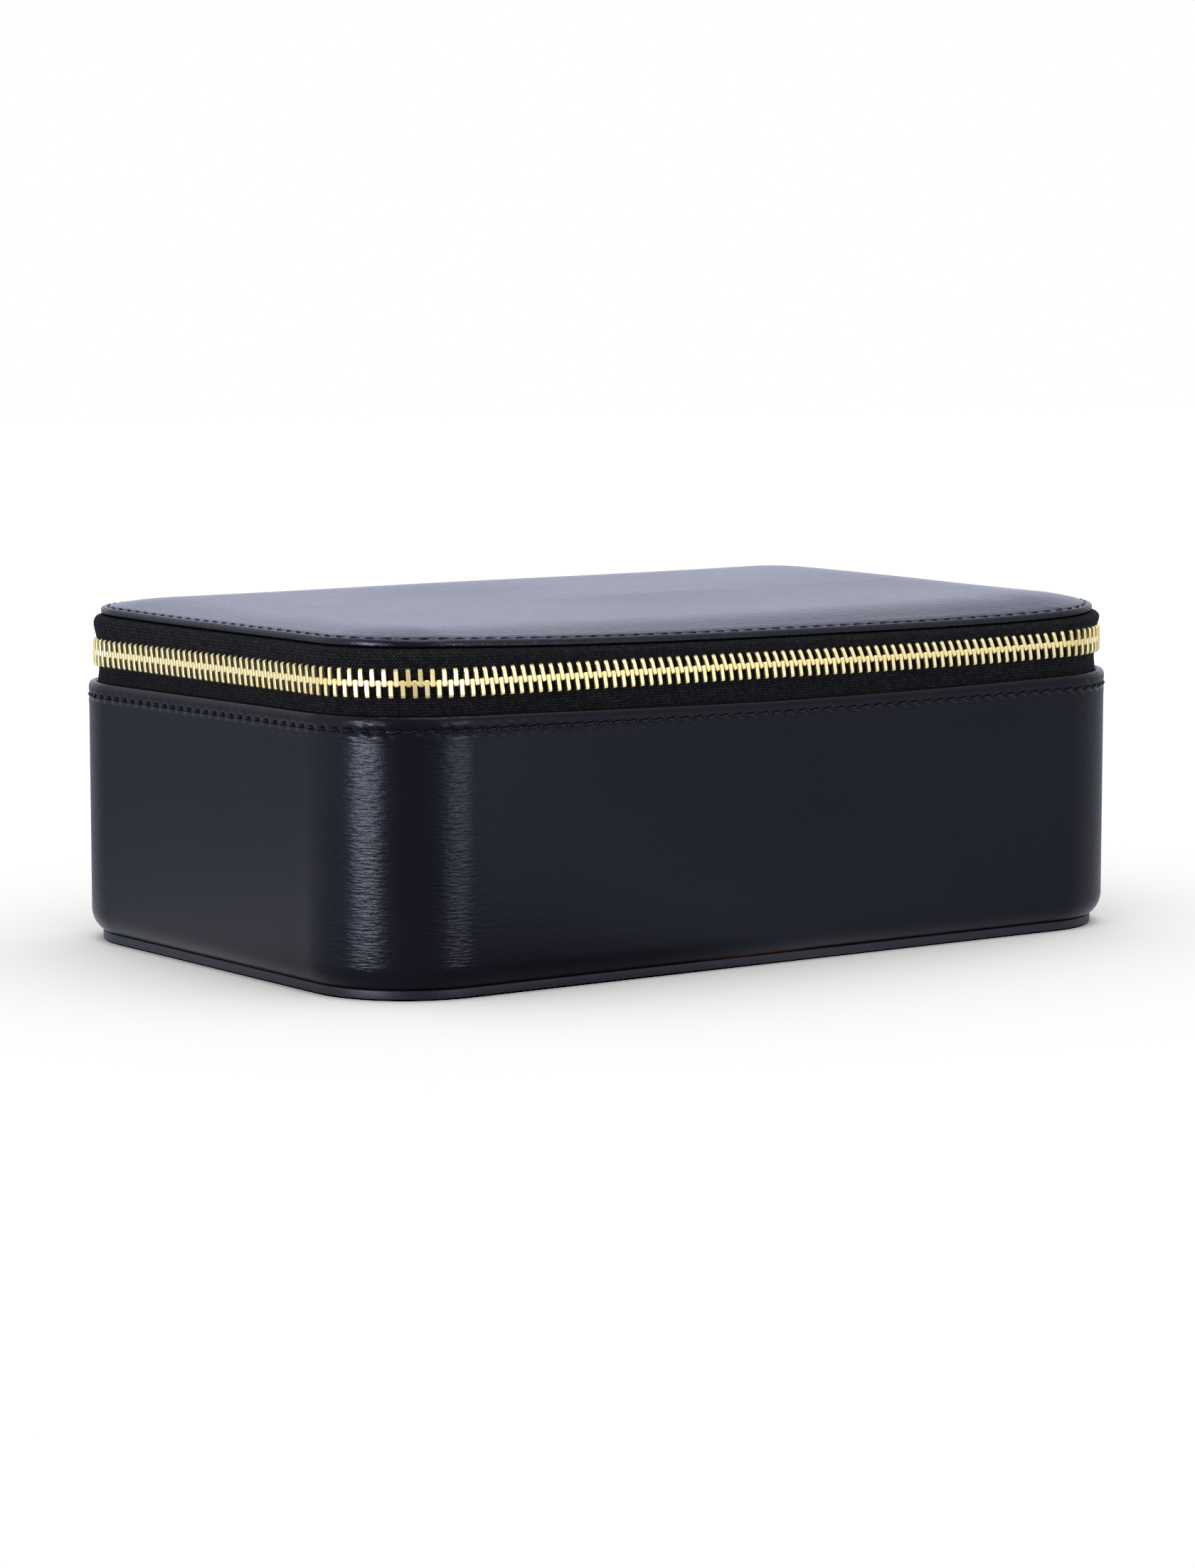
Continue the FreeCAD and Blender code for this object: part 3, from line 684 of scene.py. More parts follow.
# Ring bed and rolls: a foam block with soft suede rolls set side by side on it.
# A ring's band is pushed down between two rolls, which swell against each other and hold it.
bed_low, bed_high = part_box("ring_bed")
bed = round_topped("ring_bed_foam", bed_low, bed_high, 1.2 * mm, 0.01, False)
finish_piece(bed, suede, "soft_foam", "base", "ring_bed")
roll_nodes = [node for node in sorted(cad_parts) if node.startswith("ring_roll_")]
for node in roll_nodes:
    low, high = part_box(node)
    roll = round_topped(node + "_suede", low, high, 6.2 * mm, 0.16, False)
    finish_piece(roll, suede, "lining_suede", "base", node)

# Zip tapes: black herringbone tape, woven with a firm edge for the teeth.
# The lower one is sewn behind the rim; the upper one bellies out and turns in under the lid.
lower_low, lower_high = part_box("zip_tape_lower")
upper_low, upper_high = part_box("zip_tape_upper")
tail_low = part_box("zip_tape_upper_right_end")[0]
chain_inset = 2.45 * mm
chain_z = (lower_high.z + upper_low.z) / 2
tape_edge = (upper_low.z - lower_high.z) / 2
tape_thickness = 0.9 * mm
zip_end = tail_low.x
lid_zip_start = marks[1]
lower_edge_z = chain_z - tape_edge
upper_edge_z = chain_z + tape_edge
tuck_z = upper_high.z
row_spread = 1.43 * mm
spread_full = 5.5 * mm
spread_taper = 7.0 * mm
spread_reach = 4.0 * mm
weave_shift = 0.3 * mm
pick_power = 0.4
ridge_power = 1.6
glint_power = 1.3
glint_least = 0.38


def herringbone_group():
    """A twill whose slant turns back at each band's edge, broken into short raised threads. Its Tone is
    painted light: painted shade in the hollows and a painted highlight of random strength on each raised
    thread.
    """
    tree, given, out = group("herringbone", ("Rib", "Pick", "Band"), ("Height", "Tone"))
    uneven = add(tree, "ShaderNodeTexNoise", {"Vector": given["Vector"], "Scale": 700.0}).outputs["Color"]
    shift = vector_calc(tree, "MULTIPLY", uneven, (weave_shift, weave_shift, weave_shift))[0]
    moved = vector_calc(tree, "ADD", given["Vector"], shift)[0]
    parts = add(tree, "ShaderNodeSeparateXYZ", {0: moved}).outputs
    slant = calc(tree, "PINGPONG", parts[1], given["Band"])
    phase = calc(tree, "DIVIDE", calc(tree, "ADD", parts[0], slant), given["Rib"])
    cross = calc(tree, "DIVIDE", parts[1], given["Pick"])
    rib, pick = [calc(tree, "SINE", calc(tree, "MULTIPLY", calc(tree, "FRACT", turns), math.pi))
                 for turns in (phase, cross)]
    cell = add(tree, "ShaderNodeCombineXYZ", {
        0: calc(tree, "FLOOR", phase), 1: calc(tree, "FLOOR", cross)}).outputs[0]
    chance = add(tree, "ShaderNodeTexWhiteNoise", {"Vector": cell}, noise_dimensions="2D")
    height = calc(tree, "MULTIPLY", rib, calc(tree, "POWER", pick, pick_power))
    # Painted light: each raised thread gets a painted highlight of random strength, and the tone falls to
    # dark in the hollows as painted shade.
    glint = calc(tree, "POWER", chance.outputs["Value"], glint_power)
    glint = calc(tree, "MULTIPLY_ADD", glint, 1 - glint_least, glint_least)
    tone = calc(tree, "MULTIPLY", calc(tree, "POWER", height, ridge_power), glint)
    fill(tree, out, {"Height": height, "Tone": tone})
    return tree


herringbone = herringbone_group()


def tape_material():
    """Black polyester tape: matt and painted dark in the hollows as painted shade, with a painted
    highlight on each raised thread.
    """
    material, tree, shader, given = new_material("zip_tape_weave")
    made = add(tree, "ShaderNodeGroup", {
        "Vector": given["UV"], "Rib": 0.75 * mm, "Pick": 0.6 * mm, "Band": 1.8 * mm},
        node_tree=herringbone).outputs
    # Painted light: the base colour runs from near black in the hollows to pale grey on the raised
    # threads.
    fill(tree, shader, {
        "Base Color": mix(tree, made["Tone"], (0.0004, 0.0004, 0.0007, 1), (0.029, 0.0305, 0.041, 1)),
        "Roughness": calc(tree, "MULTIPLY_ADD", made["Tone"], -0.3, 0.8),
        "Normal": bump(tree, made["Height"], 0.22 * mm, 1.0), "Specular IOR Level": 0.06})
    return material


tape_weave = tape_material()


def spread_at(points):
    """How far the slider parts each row, near the right-hand end of the chain behind the case."""
    behind = (points[..., 1] > side_y) & (points[..., 0] > 0)
    full_x = zip_end + spread_full
    return row_spread * behind * ramp(points[..., 0], full_x + spread_taper, full_x)


lid_corner_lift = 0.55 * mm
lid_front_sag = 1.4 * mm
lid_front_y = (0, -60 * mm)
lid_sag_reach = {"left": 88 * mm, "right": 100 * mm}
lid_sag_power = {"left": 2.2, "right": 4.0}
lid_back_rise = 1.4 * mm
lid_back_way = (0.35, 0.95)
lid_back_span = (-30 * mm, 95 * mm)
lid_left_rise = 1.05 * mm
lid_left_x = (-50 * mm, -105 * mm)
lid_left_y = (-85 * mm, 55 * mm)
lid_right_rise = 0.8 * mm
lid_right_x = (30 * mm, 110 * mm)


def lid_back_share(points):
    """0 at the lid's near left corner, 1 towards its far right one, where it rides up."""
    share = ramp(points[..., :2] @ lid_back_way, *lid_back_span)
    return share ** 2 * (3 - 2 * share)


def lid_right_share(points):
    """0 over the lid's left and middle, 1 at its right end."""
    return ramp(points[..., 0], *lid_right_x) ** 2


def lid_left_share(points):
    """0 over the lid's middle and right, 1 at the back of its left end, where it is thin and rides up."""
    return ramp(points[..., 0], *lid_left_x) ** 2 * ramp(points[..., 1], *lid_left_y)


def lid_lift(points):
    """How the soft lid departs from level: its front sags between the corners and its back rides up."""
    reach, power = [np.where(points[..., 0] < 0, end["left"], end["right"])
                    for end in (lid_sag_reach, lid_sag_power)]
    span = 1 - np.minimum(np.abs(points[..., 0]) / reach, 1) ** power
    sag = lid_front_sag * span * ramp(points[..., 1], *lid_front_y)
    ends = lid_right_rise * lid_right_share(points) ** 2 + lid_left_rise * lid_left_share(points)
    return lid_corner_lift + ends + lid_back_rise * lid_back_share(points) - sag


def sheet_section(outer):
    """The closed section of a tape or strip, from the line of its outer face, given upwards."""
    outer = np.array(outer)
    slope = np.gradient(outer, axis=0)
    inward = np.column_stack([slope[:, 1], -slope[:, 0]])
    inward /= np.linalg.norm(inward, axis=1)[:, None]
    return np.vstack([outer, (outer + inward * tape_thickness)[::-1]])


def tape_lift(points):
    """How the tapes depart from level: the slider parts them, both ride up towards the near right
    corner, and the upper one meets the lid."""
    from_chain = points[..., 2] - chain_z
    at_teeth = ramp(np.abs(np.abs(from_chain) - tape_edge), spread_reach, 0)
    parted = np.sign(from_chain) * spread_at(points) * at_teeth
    above_rim = ramp(points[..., 2], rim_z, lower_edge_z)
    at_lid = ramp(points[..., 2], upper_edge_z, tuck_z)
    return parted + lid_lift(points) * at_lid + end_rise(points) * above_rim * (1 - at_lid)


def tape(name, outer, start, end):
    """A tape between two distances, from the line of its outer face."""
    return band(name, sheet_section(outer), start, end, 1.2 * mm, tape_lift)


zip_start_at = zip_end
zip_end_at = girth - zip_end
lid_zip_end = girth - lid_zip_start
belly = 1.25
lower_line = [(2.0 * mm, lower_low.z), (2.0 * mm, rim_z - 4 * mm)]
lower_line += [(inset * mm, rim_z + up * mm) for inset, up in (
    (2.02, 0), (2.2, 1.4), (2.4, 3.0), (2.4, 4.4))]
lower_line += [(2.15 * mm, lower_edge_z - 0.6 * mm), (2.0 * mm, lower_edge_z)]
upper_line = [(inset * mm, upper_edge_z + up * mm) for inset, up in (
    (2.0, 0), (1.95, 1.0), (1.75, 2.0), (1.45, 2.9), (belly, 3.7), (belly, 4.3))]
upper_line += [(inset * mm, tuck_z - down * mm) for inset, down in (
    (1.5, 0.75), (2.0, 0.3), (2.8, 0.05), (4.0, 0), (8.9, 0))]
tape_lower = tape("zip_tape_lower_weave", lower_line, zip_start_at, zip_end_at)
finish_piece(tape_lower, tape_weave, "zip_tape", "base", "zip_tape_lower")
tape_upper = tape("zip_tape_upper_weave", upper_line, lid_zip_start, lid_zip_end)
finish_piece(tape_upper, tape_weave, "zip_tape", "lid", "zip_tape_upper")


def bend_with_lid(piece, material, slot, node, low, high):
    """Gives a piece at the back its finish; the two heights are not used."""
    piece.data.materials.append(material)
    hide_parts(node)
    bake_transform(piece)


tape_bend = (upper_edge_z + 0.6 * mm, tuck_z - 1.0 * mm)
for side, start, end in (("left", zip_start_at, lid_zip_start), ("right", lid_zip_end, zip_end_at)):
    tape_end = tape(f"zip_tape_{side}_end_weave", upper_line, start, end)
    bend_with_lid(tape_end, tape_weave, "zip_tape", f"zip_tape_upper_{side}_end", *tape_bend)

# Zip teeth: pale gold pressed teeth, each clenched by two legs on the tape's firm edge.
# The rows sit half a pitch apart, so that each head lies between two heads of the other row.
tooth_pitch = 2.45 * mm
tooth_width = 0.92 * mm
first_tooth = 4.0 * mm
tooth_count = 228
leg_profile = ((0.5, -0.7), (1.3, -0.7), (1.42, -0.5), (1.42, 2.5), (1.28, 3.0), (0.9, 3.2), (0.5, 0.95))
head_profile = ((0.35, -0.5), (0.86, -0.42), (0.95, 0.1), (0.84, 0.5), (0.35, 0.55))
head_width = 1.34 * mm
lower_lean = math.radians(-10)
upper_lean = math.radians(-11)
upper_lean_front = math.radians(-25)
lean_run = 90 * mm
corner_upright = 0.7


def pressed(profile, width, row):
    """A pressed shape: a half outline in depth and height, carried across a width with bevelled edges."""
    half = np.array(profile)
    outline = np.vstack([half, half[::-1] * (-1, 1)]) * mm
    drawn_in = outline * (0.93, 1) - (0, 0.08 * mm) * np.sign(outline - (0, 0.3 * mm))
    rings = []
    for place, ring in ((-0.5, drawn_in), (-0.4, outline), (0.4, outline), (0.5, drawn_in)):
        rings.append(np.column_stack([np.full(len(ring), place * width), ring[:, 0], row * ring[:, 1]]))
    return np.array(rings)[:: row]


def tooth_mesh(row):
    """One tooth: two legs that clasp the tape, and the broader head that meshes with the other row."""
    parts = []
    for profile, width in ((leg_profile, tooth_width), (head_profile, head_width)):
        rings = pressed(profile, width, row)
        part = skin("tooth", rings, np.arange(len(rings)) * mm, np.arange(rings.shape[1] + 1) * mm,
                    ring=False, capped=True)
        parts.append(part)
    whole = bmesh.new()
    for part in parts:
        whole.from_mesh(part.data)
    for face in whole.faces:
        face.smooth = False
    whole.to_mesh(parts[0].data)
    whole.free()
    bpy.data.objects.remove(parts[1])
    parts[0].hide_render = True
    return parts[0]


def brass_material():
    """Polished pale gold plate: fine polishing lines and a slightly deeper tone in the hollows."""
    material, tree, shader, given = new_material("pale_gold")
    lines = stretched_noise(tree, given["Object"], (1500, 1500, 5200), 3.0)
    fill(tree, shader, {
        "Base Color": mix(tree, lines, (0.98, 0.82, 0.41, 1), (1.0, 0.9, 0.56, 1)),
        "Roughness": calc(tree, "MULTIPLY_ADD", lines, 0.1, 0.33),
        "Normal": bump(tree, lines, 0.004 * mm, 0.3), "Metallic": 1.0})
    return material


pale_gold = brass_material()
chain_distance = np.linspace(zip_start_at, zip_end_at, 1200)
chain_line = around(chain_distance, chain_inset, chain_z)
chain_line[:, 2] += end_rise(chain_line)
chain_steps = np.linalg.norm(np.diff(chain_line, axis=0), axis=1)
chain_run = np.concatenate([[0], np.cumsum(chain_steps)])
lid_run_start = np.interp(lid_zip_start, chain_distance, chain_run)
lid_run_end = np.interp(lid_zip_end, chain_distance, chain_run)
spread_end = chain_run[-1] - spread_full
spread_start = spread_end - spread_taper


def tooth_row(name, row_side, run_start, run_end):
    """The teeth of one row whose middles lie between two distances along the chain."""
    shift = first_tooth + (tooth_pitch / 2 if row_side > 0 else 0)
    number = np.arange(tooth_count)
    place = shift + number * tooth_pitch
    kept = number[(place > run_start) & (place <= run_end)]
    in_front = np.interp(chain_distance, (marks[4], marks[4] + lean_run, marks[5], marks[6]), (0, 1, 1, 0))
    upper = upper_lean + (upper_lean_front - upper_lean) * in_front
    lean = (upper if row_side > 0 else lower_lean) * (1 - corner_upright * bend_share(chain_distance))
    return row(name, chain_line, tooth_shape[row_side], pale_gold, lean, Count=len(kept),
               Start=float(place[kept[0]]), Pitch=tooth_pitch, Lift=row_side * row_spread,
               **{"Lift Start": float(spread_start), "Lift End": float(spread_end)})


tooth_shape = {side: tooth_mesh(side) for side in (1, -1)}
tooth_rows = (
    ("lower", -1, 0, chain_run[-1], "base", ("zip_teeth_lower", "zip_teeth_lower_tail")),
    ("upper", 1, lid_run_start, lid_run_end, "lid", ("zip_teeth_upper",)),
    ("left_end", 1, 0, lid_run_start, "base", ("zip_teeth_upper_left_end",)),
    ("right_end", 1, lid_run_end, chain_run[-1], "base", ("zip_teeth_upper_right_end",)))
for label, row_side, start, end, body, nodes in tooth_rows:
    settle(tooth_row(f"zip_teeth_{label}_row", row_side, start, end), "zip_brass", body, *nodes)
for node in ("zip_bottom_stop", "zip_top_stop_lower", "zip_top_stop_upper"):
    dress(node, pale_gold)

# Hinge strip: a strip of the case's leather at the back, sewn behind the rim and under the lid.
# It bends as the lid swings back, and a narrow suede strip lines its inner face.
strip_low, strip_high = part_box("hinge_strip")
hinge_half = strip_high.x
hinge_inset = 2.0 * mm
hinge_round = 1.5 * mm
hinge_tuck = 8.9 * mm
hinge_lining_outer = 3.0 * mm
hinge_lining_inner = 3.8 * mm
hinge_step = 1.5 * mm
hinge_bend = (64 * mm, 74 * mm)
hinge_line = [(hinge_inset, z) for z in np.linspace(strip_low.z, strip_high.z - hinge_round, 26)]
hinge_line += arc((hinge_inset + hinge_round, strip_high.z - hinge_round), hinge_round, 180, 90, 6)[1:]
hinge_line += [(hinge_tuck, strip_high.z)]


def hinge_lift(points):
    """How far the strip's upper part goes up or down with the lid."""
    return lid_lift(points) * ramp(points[..., 2], chain_z, strip_high.z)


hinge = band("hinge_strip_leather", sheet_section(hinge_line), -hinge_half, hinge_half, hinge_step,
             hinge_lift)
strip_leather = leather("strip_leather", "UV", roughness=0.36, relief=0.06 * mm)
bend_with_lid(hinge, strip_leather, "case_leather", "hinge_strip", *hinge_bend)
hinge_lining_low, hinge_lining_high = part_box("hinge_lining")
hinge_lining_z = np.linspace(hinge_lining_low.z, hinge_lining_high.z, 14)
hinge_lining_section = [(hinge_lining_outer, z) for z in hinge_lining_z]
hinge_lining_section += [(hinge_lining_inner, z) for z in hinge_lining_z[::-1]]
hinge_lining = band("hinge_lining_suede", hinge_lining_section, -hinge_half, hinge_half, hinge_step)
bend_with_lid(hinge_lining, suede, "lining_suede", "hinge_lining", *hinge_bend)

# Lid: leather drawn over foam on a board, with a rolled edge and a sewn border.
# Each stitch pulls the leather down, and the foam crowns it between the borders.
lid_low, lid_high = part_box("lid_leather")
lid_setback = half_length - lid_high.x
lid_bottom = lid_low.z
lid_edge_height = 1.75 * mm
lid_edge_top = lid_bottom + lid_edge_height
lid_crown = 2.15 * mm
lid_crown_start = lid_setback + 1.1 * mm
lid_crown_run = 24 * mm
lid_seam_inset = lid_setback + 1.6 * mm
lid_edge_round = 0.8 * mm
lid_foot_round = 0.5 * mm
lid_back_fill = 1.3 * mm
lid_right_fill = 0.3 * mm
lid_left_thin = 1.1 * mm
lid_corner_thin = 0.6 * mm
lid_corner_y = (0, -50 * mm)
lid_front_roll = 0.9 * mm
lid_roll_depth = 22 * mm
lid_roll_x = (-60 * mm, 70 * mm)
lid_under_insets = (panel_middle, lid_setback + 14 * mm, lid_setback + 3 * mm)
lid_border_end = lid_seam_inset + 3.0 * mm
lid_border_step = 0.16 * mm
lid_field_gap = 0.6 * mm
lid_dome = 0.1 * mm
lid_dome_lean = 0.6
lid_wave = 0.1 * mm
lid_waves = ((13 * mm, 21 * mm, 0), (29 * mm, -10 * mm, 1))
lid_stitch_pitch = girth / round(girth / (4.05 * mm))
lid_seam_depth = 0.22 * mm
lid_seam_reach = 0.34 * mm
lid_seam_least = 0.25
lid_stitch_pull = (0.32, 0.22)
lid_puff = 0.06 * mm
lid_puff_offset = 1.7 * mm
lid_puff_reach = 1.1 * mm


def swell(inset):
    """How far the padding has risen at an inset, from 0 at the lid's edge to 1 inside its border."""
    share = ramp(inset, lid_crown_start, lid_crown_start + lid_crown_run)
    return 1 - (1 - share) ** 3


def lid_rise(points, inset):
    """How far the lid's top stands above level: its own lift, more padding at its back and right, a roll
    along its front, and less padding at its left end and its near right corner."""
    corner = lid_right_share(points) * ramp(points[..., 1], *lid_corner_y)
    depth = (points[..., 1] + half_width) / lid_roll_depth
    roll = ramp(points[..., 0], *lid_roll_x) * depth * np.exp(1 - depth)
    padding = (
        lid_back_fill * lid_back_share(points) + lid_right_fill * lid_right_share(points)
        + lid_front_roll * roll - lid_left_thin * lid_left_share(points) - lid_corner_thin * corner)
    return lid_lift(points) + padding * swell(inset)


def close_lid(mesh):
    """Joins the two sides of the top where they meet along the middle, and fills the underside."""
    whole = bmesh.new()
    whole.from_mesh(mesh)
    bmesh.ops.remove_doubles(whole, verts=whole.verts, dist=0.001 * mm)
    bmesh.ops.holes_fill(whole, edges=[edge for edge in whole.edges if edge.is_boundary])
    whole.to_mesh(mesh)
    whole.free()


def lid_cushion():
    """The lid's leather: flat underside, rolled edge, a border dented by stitches and a crowned field."""
    foot = (lid_setback + lid_foot_round, lid_bottom + lid_foot_round)
    shoulder = (lid_setback + lid_edge_round, lid_edge_top - lid_edge_round)
    under = [(inset, lid_bottom) for inset in lid_under_insets]
    edge = arc(foot, lid_foot_round, 270, 180, 6) + arc(shoulder, lid_edge_round, 180, 90, 9)
    border = np.arange(lid_crown_start, lid_border_end, lid_border_step)
    field = np.linspace(border[-1] + lid_field_gap, half_width, 48)
    top = [(inset, lid_edge_top + lid_crown * swell(inset)) for inset in np.concatenate([border, field])]
    section = np.array(under + edge + top)
    inset, height = section.T
    distance = np.linspace(0, girth, 1100, endpoint=False)
    on_top = (np.arange(len(section)) >= len(under) + len(edge))[None]
    across = (inset - lid_seam_inset)[None]
    along_stitch = np.abs(np.mod(distance[:, None], lid_stitch_pitch) / lid_stitch_pitch - 0.5)
    pulled = lid_seam_least + (1 - lid_seam_least) * ramp(along_stitch, *lid_stitch_pull)
    puff = lid_puff * bell(across - lid_puff_offset, lid_puff_reach)
    relief = on_top * (puff - lid_seam_depth * bell(across, lid_seam_reach) * pulled)
    points = around(distance[:, None], inset[None], height[None] + relief)
    beneath = (np.arange(len(section)) < 2)[None]
    points[..., 2] += np.where(beneath, 0, lid_rise(points, np.where(on_top, inset[None], 0)))
    x, y = points[..., 0], points[..., 1]
    across_lid = np.clip(1 - (y / (half_width - lid_seam_inset)) ** 2, 0, 1)
    along_lid = np.clip(1 - (x / (half_length - lid_seam_inset)) ** 2, 0, 1)
    dome = lid_dome * (1 + lid_dome_lean * y / half_width)
    wave = sum(np.sin(x / length + y / breadth + start) for length, breadth, start in lid_waves)
    points[..., 2] += on_top * across_lid * along_lid * (dome + lid_wave * wave)
    piece = skin("lid_cushion", points, np.append(distance, girth), travel(section), tube=False)
    close_lid(piece.data)
    return piece


lid_leather = leather("lid_leather", "Object", roughness=0.14, relief=0.24 * mm, shine=0.36)
cushion = lid_cushion()
finish_piece(cushion, lid_leather, "case_leather", "lid", "lid_leather", "lid_foam")
lid_stitch = stitch("lid_stitch", length=2.1 * mm, thickness=0.33 * mm, arch=0.18 * mm, slant=0,
                    outward=(0, 0, 1))
lid_stitch_sink = 0.1 * mm
lid_seam_z = lid_edge_top + lid_crown * swell(lid_seam_inset) - lid_stitch_sink
lid_seam = around(seam_distance, lid_seam_inset, lid_seam_z)
lid_seam[:, 2] += lid_rise(lid_seam, lid_seam_inset)
seam_length = np.linalg.norm(np.diff(lid_seam, axis=0), axis=1).sum()
lid_stitch_count = round(girth / lid_stitch_pitch)
lid_stitching = row("lid_stitching", lid_seam, lid_stitch, black_thread, Count=lid_stitch_count,
                    Start=seam_length / lid_stitch_count / 2, Pitch=seam_length / lid_stitch_count)
settle(lid_stitching, "zip_tape", "lid")

lid_lining_low, lid_lining_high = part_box("lid_lining")
lid_lining_inset = half_length - lid_lining_high.x
lid_lining_round = 0.7 * mm
lid_lining_middle = (lid_lining_inset + lid_lining_round, lid_lining_low.z + lid_lining_round)
lid_lining_section = (
    [(panel_middle, lid_lining_low.z), (lid_lining_inset + 8 * mm, lid_lining_low.z)]
    + arc(lid_lining_middle, lid_lining_round, 270, 180, 6)
    + [(lid_lining_inset, lid_lining_high.z), (panel_middle, lid_lining_high.z)])
lid_lining = plate("lid_lining_suede", lid_lining_section, 1.5 * mm)
finish_piece(lid_lining, suede, "lining_suede", "lid", "lid_lining")

# Slider and pull: a cast gold slider with a wire bail, and a flat tab that hangs from it.
# It rests at the right-hand end of the chain, behind the case.
for node in ("slider_body", "slider_bail", "pull_tab"):
    dress(node, pale_gold)

# Studio: a white floor and background, soft boxes on both sides of the camera and one overhead.
# The camera stands low in front of the near left corner.
camera_azimuth = math.radians(-35.88)
camera_elevation = math.radians(6.22)
camera_distance = 946.3 * mm
camera_lens = 91.52
target_aside = -1.44 * mm
target_height = 34.32 * mm


def bearing(azimuth, elevation):
    """Direction from the case towards a place; azimuth 0 is in front of it and 90 to its right."""
    level = math.cos(elevation)
    return Vector((math.sin(azimuth) * level, -math.cos(azimuth) * level, math.sin(elevation)))


lamp_white = (1.0, 0.96, 0.92)


def soft_box(name, azimuth, elevation, distance, width, height, power):
    """A rectangular lamp that faces the case."""
    lamp = bpy.data.lights.new(name, "AREA")
    lamp.shape = "RECTANGLE"
    lamp.size = width
    lamp.size_y = height
    lamp.energy = power
    lamp.color = lamp_white
    away = bearing(math.radians(azimuth), math.radians(elevation))
    holder = put(name, lamp)
    holder.location = away * distance
    holder.rotation_euler = away.to_track_quat("Z", "Y").to_euler()


soft_box("strip_left", azimuth=-72, elevation=4, distance=0.65, width=0.23, height=0.08, power=1.95)
soft_box("strip_right", azimuth=7, elevation=3.5, distance=0.65, width=0.24, height=0.07, power=0.66)
soft_box("fill_right", azimuth=45, elevation=28, distance=1.0, width=0.9, height=0.6, power=0.5)
soft_box("box_top", azimuth=20, elevation=75, distance=1.4, width=1.2, height=1.2, power=12)

cool_white = (0.77, 0.81, 1.0, 1)
plain_white = (1, 1, 1, 1)
floor_grey = (0.7, 0.7, 0.71, 1)
no_light = (0, 0, 0, 1)
pale_side = (0.469, 0.883, 0)
least_share = 0.002
cool_power = 3.0


def seen_share(tree, gloss_share):
    """How white the camera, a gloss or glass sees a place, whether any of them looks at it, and
    whether it is the camera."""
    path = add(tree, "ShaderNodeLightPath").outputs
    camera_looks = path["Is Camera Ray"]
    mirrored = calc(tree, "MAXIMUM", path["Is Glossy Ray"], path["Is Transmission Ray"])
    share = calc(tree, "MAXIMUM", camera_looks, calc(tree, "MULTIPLY", mirrored, gloss_share))
    return share, calc(tree, "MAXIMUM", camera_looks, mirrored), camera_looks


def mirrored_studio(tree, place, darkest, palest, fall, patches=()):
    """How bright a mirrored place in the studio is, and its colour: dim before the case's near corner,
    pale and cool behind it. Each pale patch adds light round an azimuth, in a lobe with a power."""
    level = vector_calc(tree, "MULTIPLY", place, (1, 1, 0))[0]
    towards = vector_calc(tree, "NORMALIZE", level)[0]
    behind = vector_calc(tree, "DOT_PRODUCT", towards, pale_side)["Value"]
    share = calc(tree, "MULTIPLY_ADD", behind, (1 - least_share) / 2, (1 + least_share) / 2)
    share = calc(tree, "POWER", share, fall)
    total = calc(tree, "MULTIPLY_ADD", share, palest - darkest, darkest)
    for azimuth, extra, power in patches:
        middle = bearing(math.radians(azimuth), 0)
        facing = vector_calc(tree, "DOT_PRODUCT", towards, middle)["Value"]
        patch = calc(tree, "POWER", calc(tree, "MAXIMUM", facing, 0.0), power)
        total = calc(tree, "MULTIPLY_ADD", patch, extra, total)
    return total, mix(tree, calc(tree, "POWER", share, cool_power), plain_white, cool_white)


floor_patches = ((-100, 0.62, 6.0), (8, 0.34, 24.0), (28, 0.5, 4.0))
floor_white = 1.02
shade_reach = 0.16
shade_power = 1.5
mirrored_shade = 0.88
seen_shade = 1.38


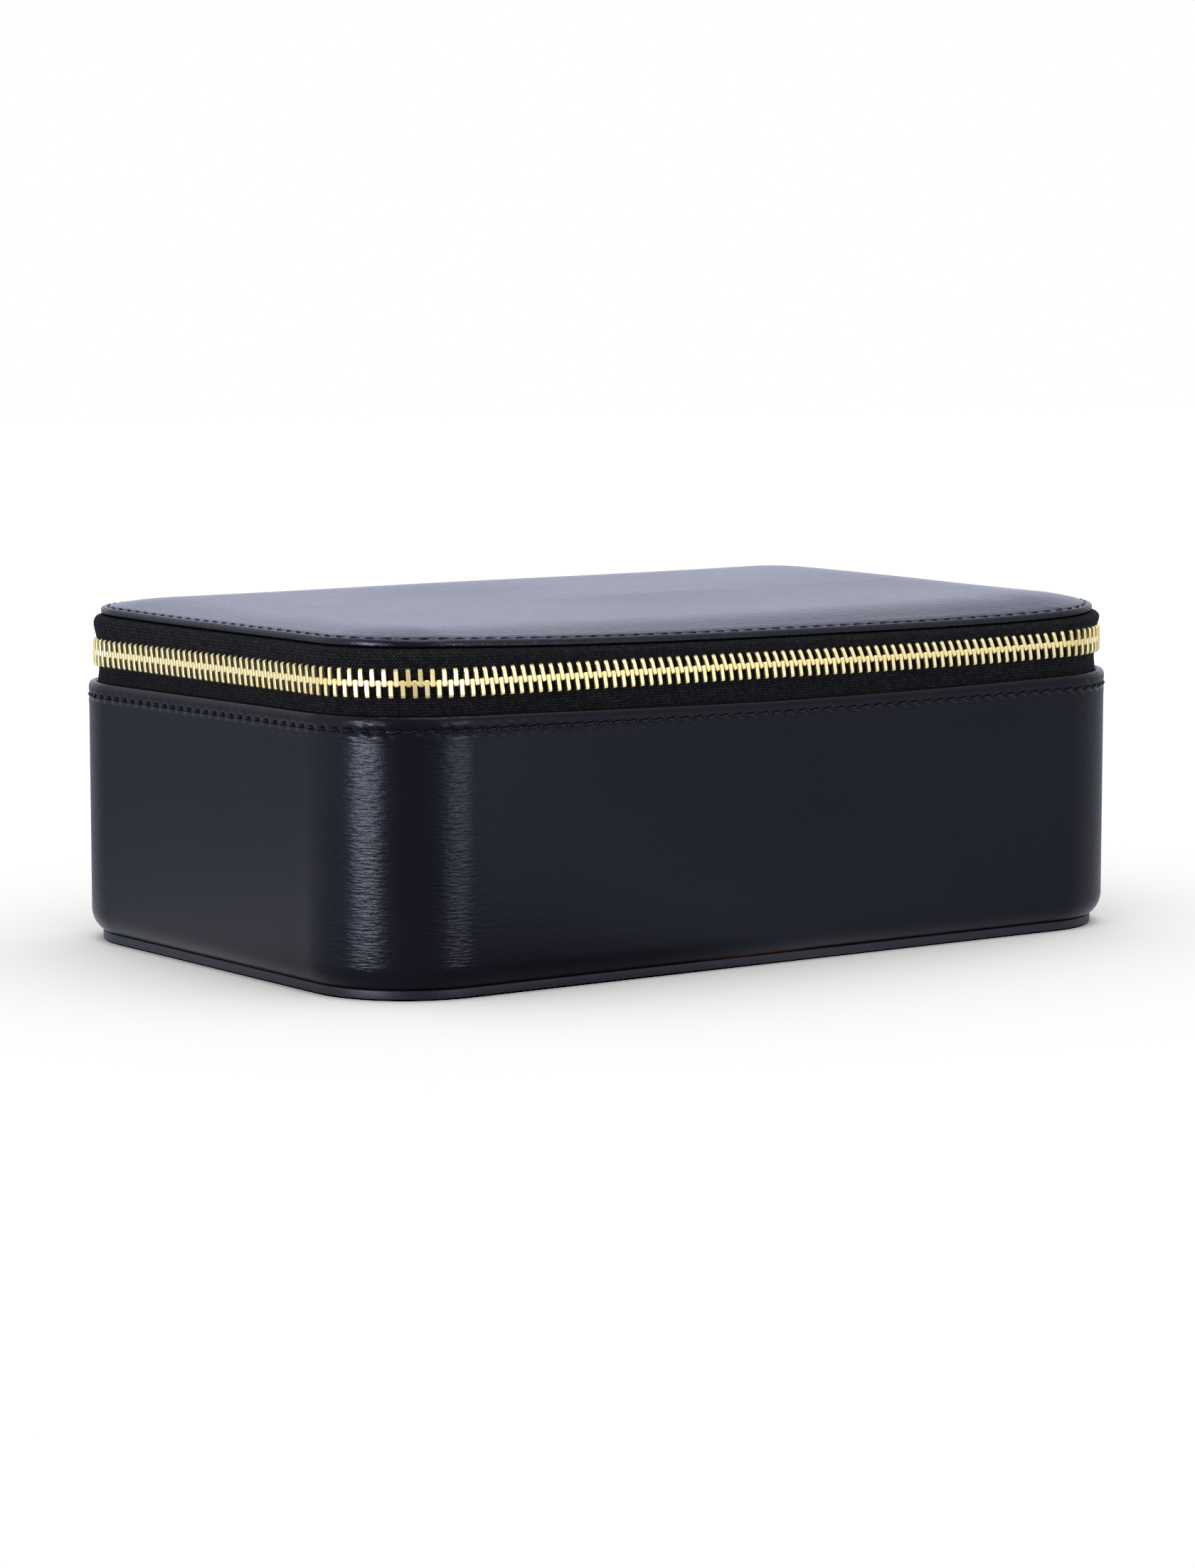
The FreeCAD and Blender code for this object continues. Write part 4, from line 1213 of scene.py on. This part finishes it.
def floor_material():
    """A pale floor: white away from the case, and darker where the case shades it."""
    material, tree, shader, given = new_material("pale_floor")
    level, tint = mirrored_studio(tree, given["Object"], darkest=0.26, palest=0.47, fall=0.35,
                                  patches=floor_patches)
    share, seen, by_camera = seen_share(tree, level)
    open_share = add(tree, "ShaderNodeAmbientOcclusion", {"Distance": shade_reach}).outputs["AO"]
    shade = calc(tree, "POWER", calc(tree, "SUBTRACT", 1.0, open_share), shade_power)
    depth = calc(tree, "MULTIPLY_ADD", by_camera, mirrored_shade - seen_shade, -mirrored_shade)
    white = calc(tree, "MULTIPLY_ADD", shade, depth, floor_white)
    fill(tree, shader, {
        "Base Color": mix(tree, seen, floor_grey, no_light), "Roughness": 0.9, "Specular IOR Level": 0.0,
        "Emission Color": mix(tree, by_camera, tint, plain_white),
        "Emission Strength": calc(tree, "MULTIPLY", white, share)})
    return material


floor_mesh = bpy.data.meshes.new("floor")
floor_reach = 6.0
floor_drop = 0.05 * mm
floor_signs = ((-1, -1), (1, -1), (1, 1), (-1, 1))
floor_corners = [(sx * floor_reach, sy * floor_reach, -floor_drop) for sx, sy in floor_signs]
floor_mesh.from_pydata(floor_corners, [], [(0, 1, 2, 3)])
floor_mesh.materials.append(floor_material())
floor = put("floor", floor_mesh)

world = bpy.data.worlds.new("studio")
world.use_nodes = True
sky = world.node_tree
bpy.context.scene.world = world
sky_light = 0.6
direction = add(sky, "ShaderNodeTexCoord").outputs["Generated"]
sky_patches = ((-108, 0.5, 8.0), (6, 0.4, 12.0))
level, tint = mirrored_studio(sky, direction, darkest=0.42, palest=1.0, fall=1.0, patches=sky_patches)
share, seen, by_camera = seen_share(sky, level)
unseen_light = calc(sky, "MULTIPLY", calc(sky, "SUBTRACT", 1.0, seen), sky_light)
fill(sky, sky.nodes["Background"].inputs, {
    "Color": mix(sky, by_camera, tint, plain_white), "Strength": calc(sky, "ADD", share, unseen_light)})

camera_data = bpy.data.cameras.new("camera")
camera_data.lens = camera_lens
camera = put("camera", camera_data)
camera_right = Vector((math.cos(camera_azimuth), math.sin(camera_azimuth), 0))
camera_back = bearing(camera_azimuth, camera_elevation)
camera_target = camera_right * target_aside + Vector((0, 0, target_height))
camera.location = camera_target + camera_back * camera_distance
camera.rotation_euler = camera_back.to_track_quat("Z", "Y").to_euler()
bpy.context.scene.camera = camera
bpy.context.scene.view_settings.view_transform = "Standard"

# The pattern pieces that the rows copied are taken away.
for pattern in (wall_stitch, lid_stitch, *tooth_shape.values()):
    bpy.data.objects.remove(pattern)
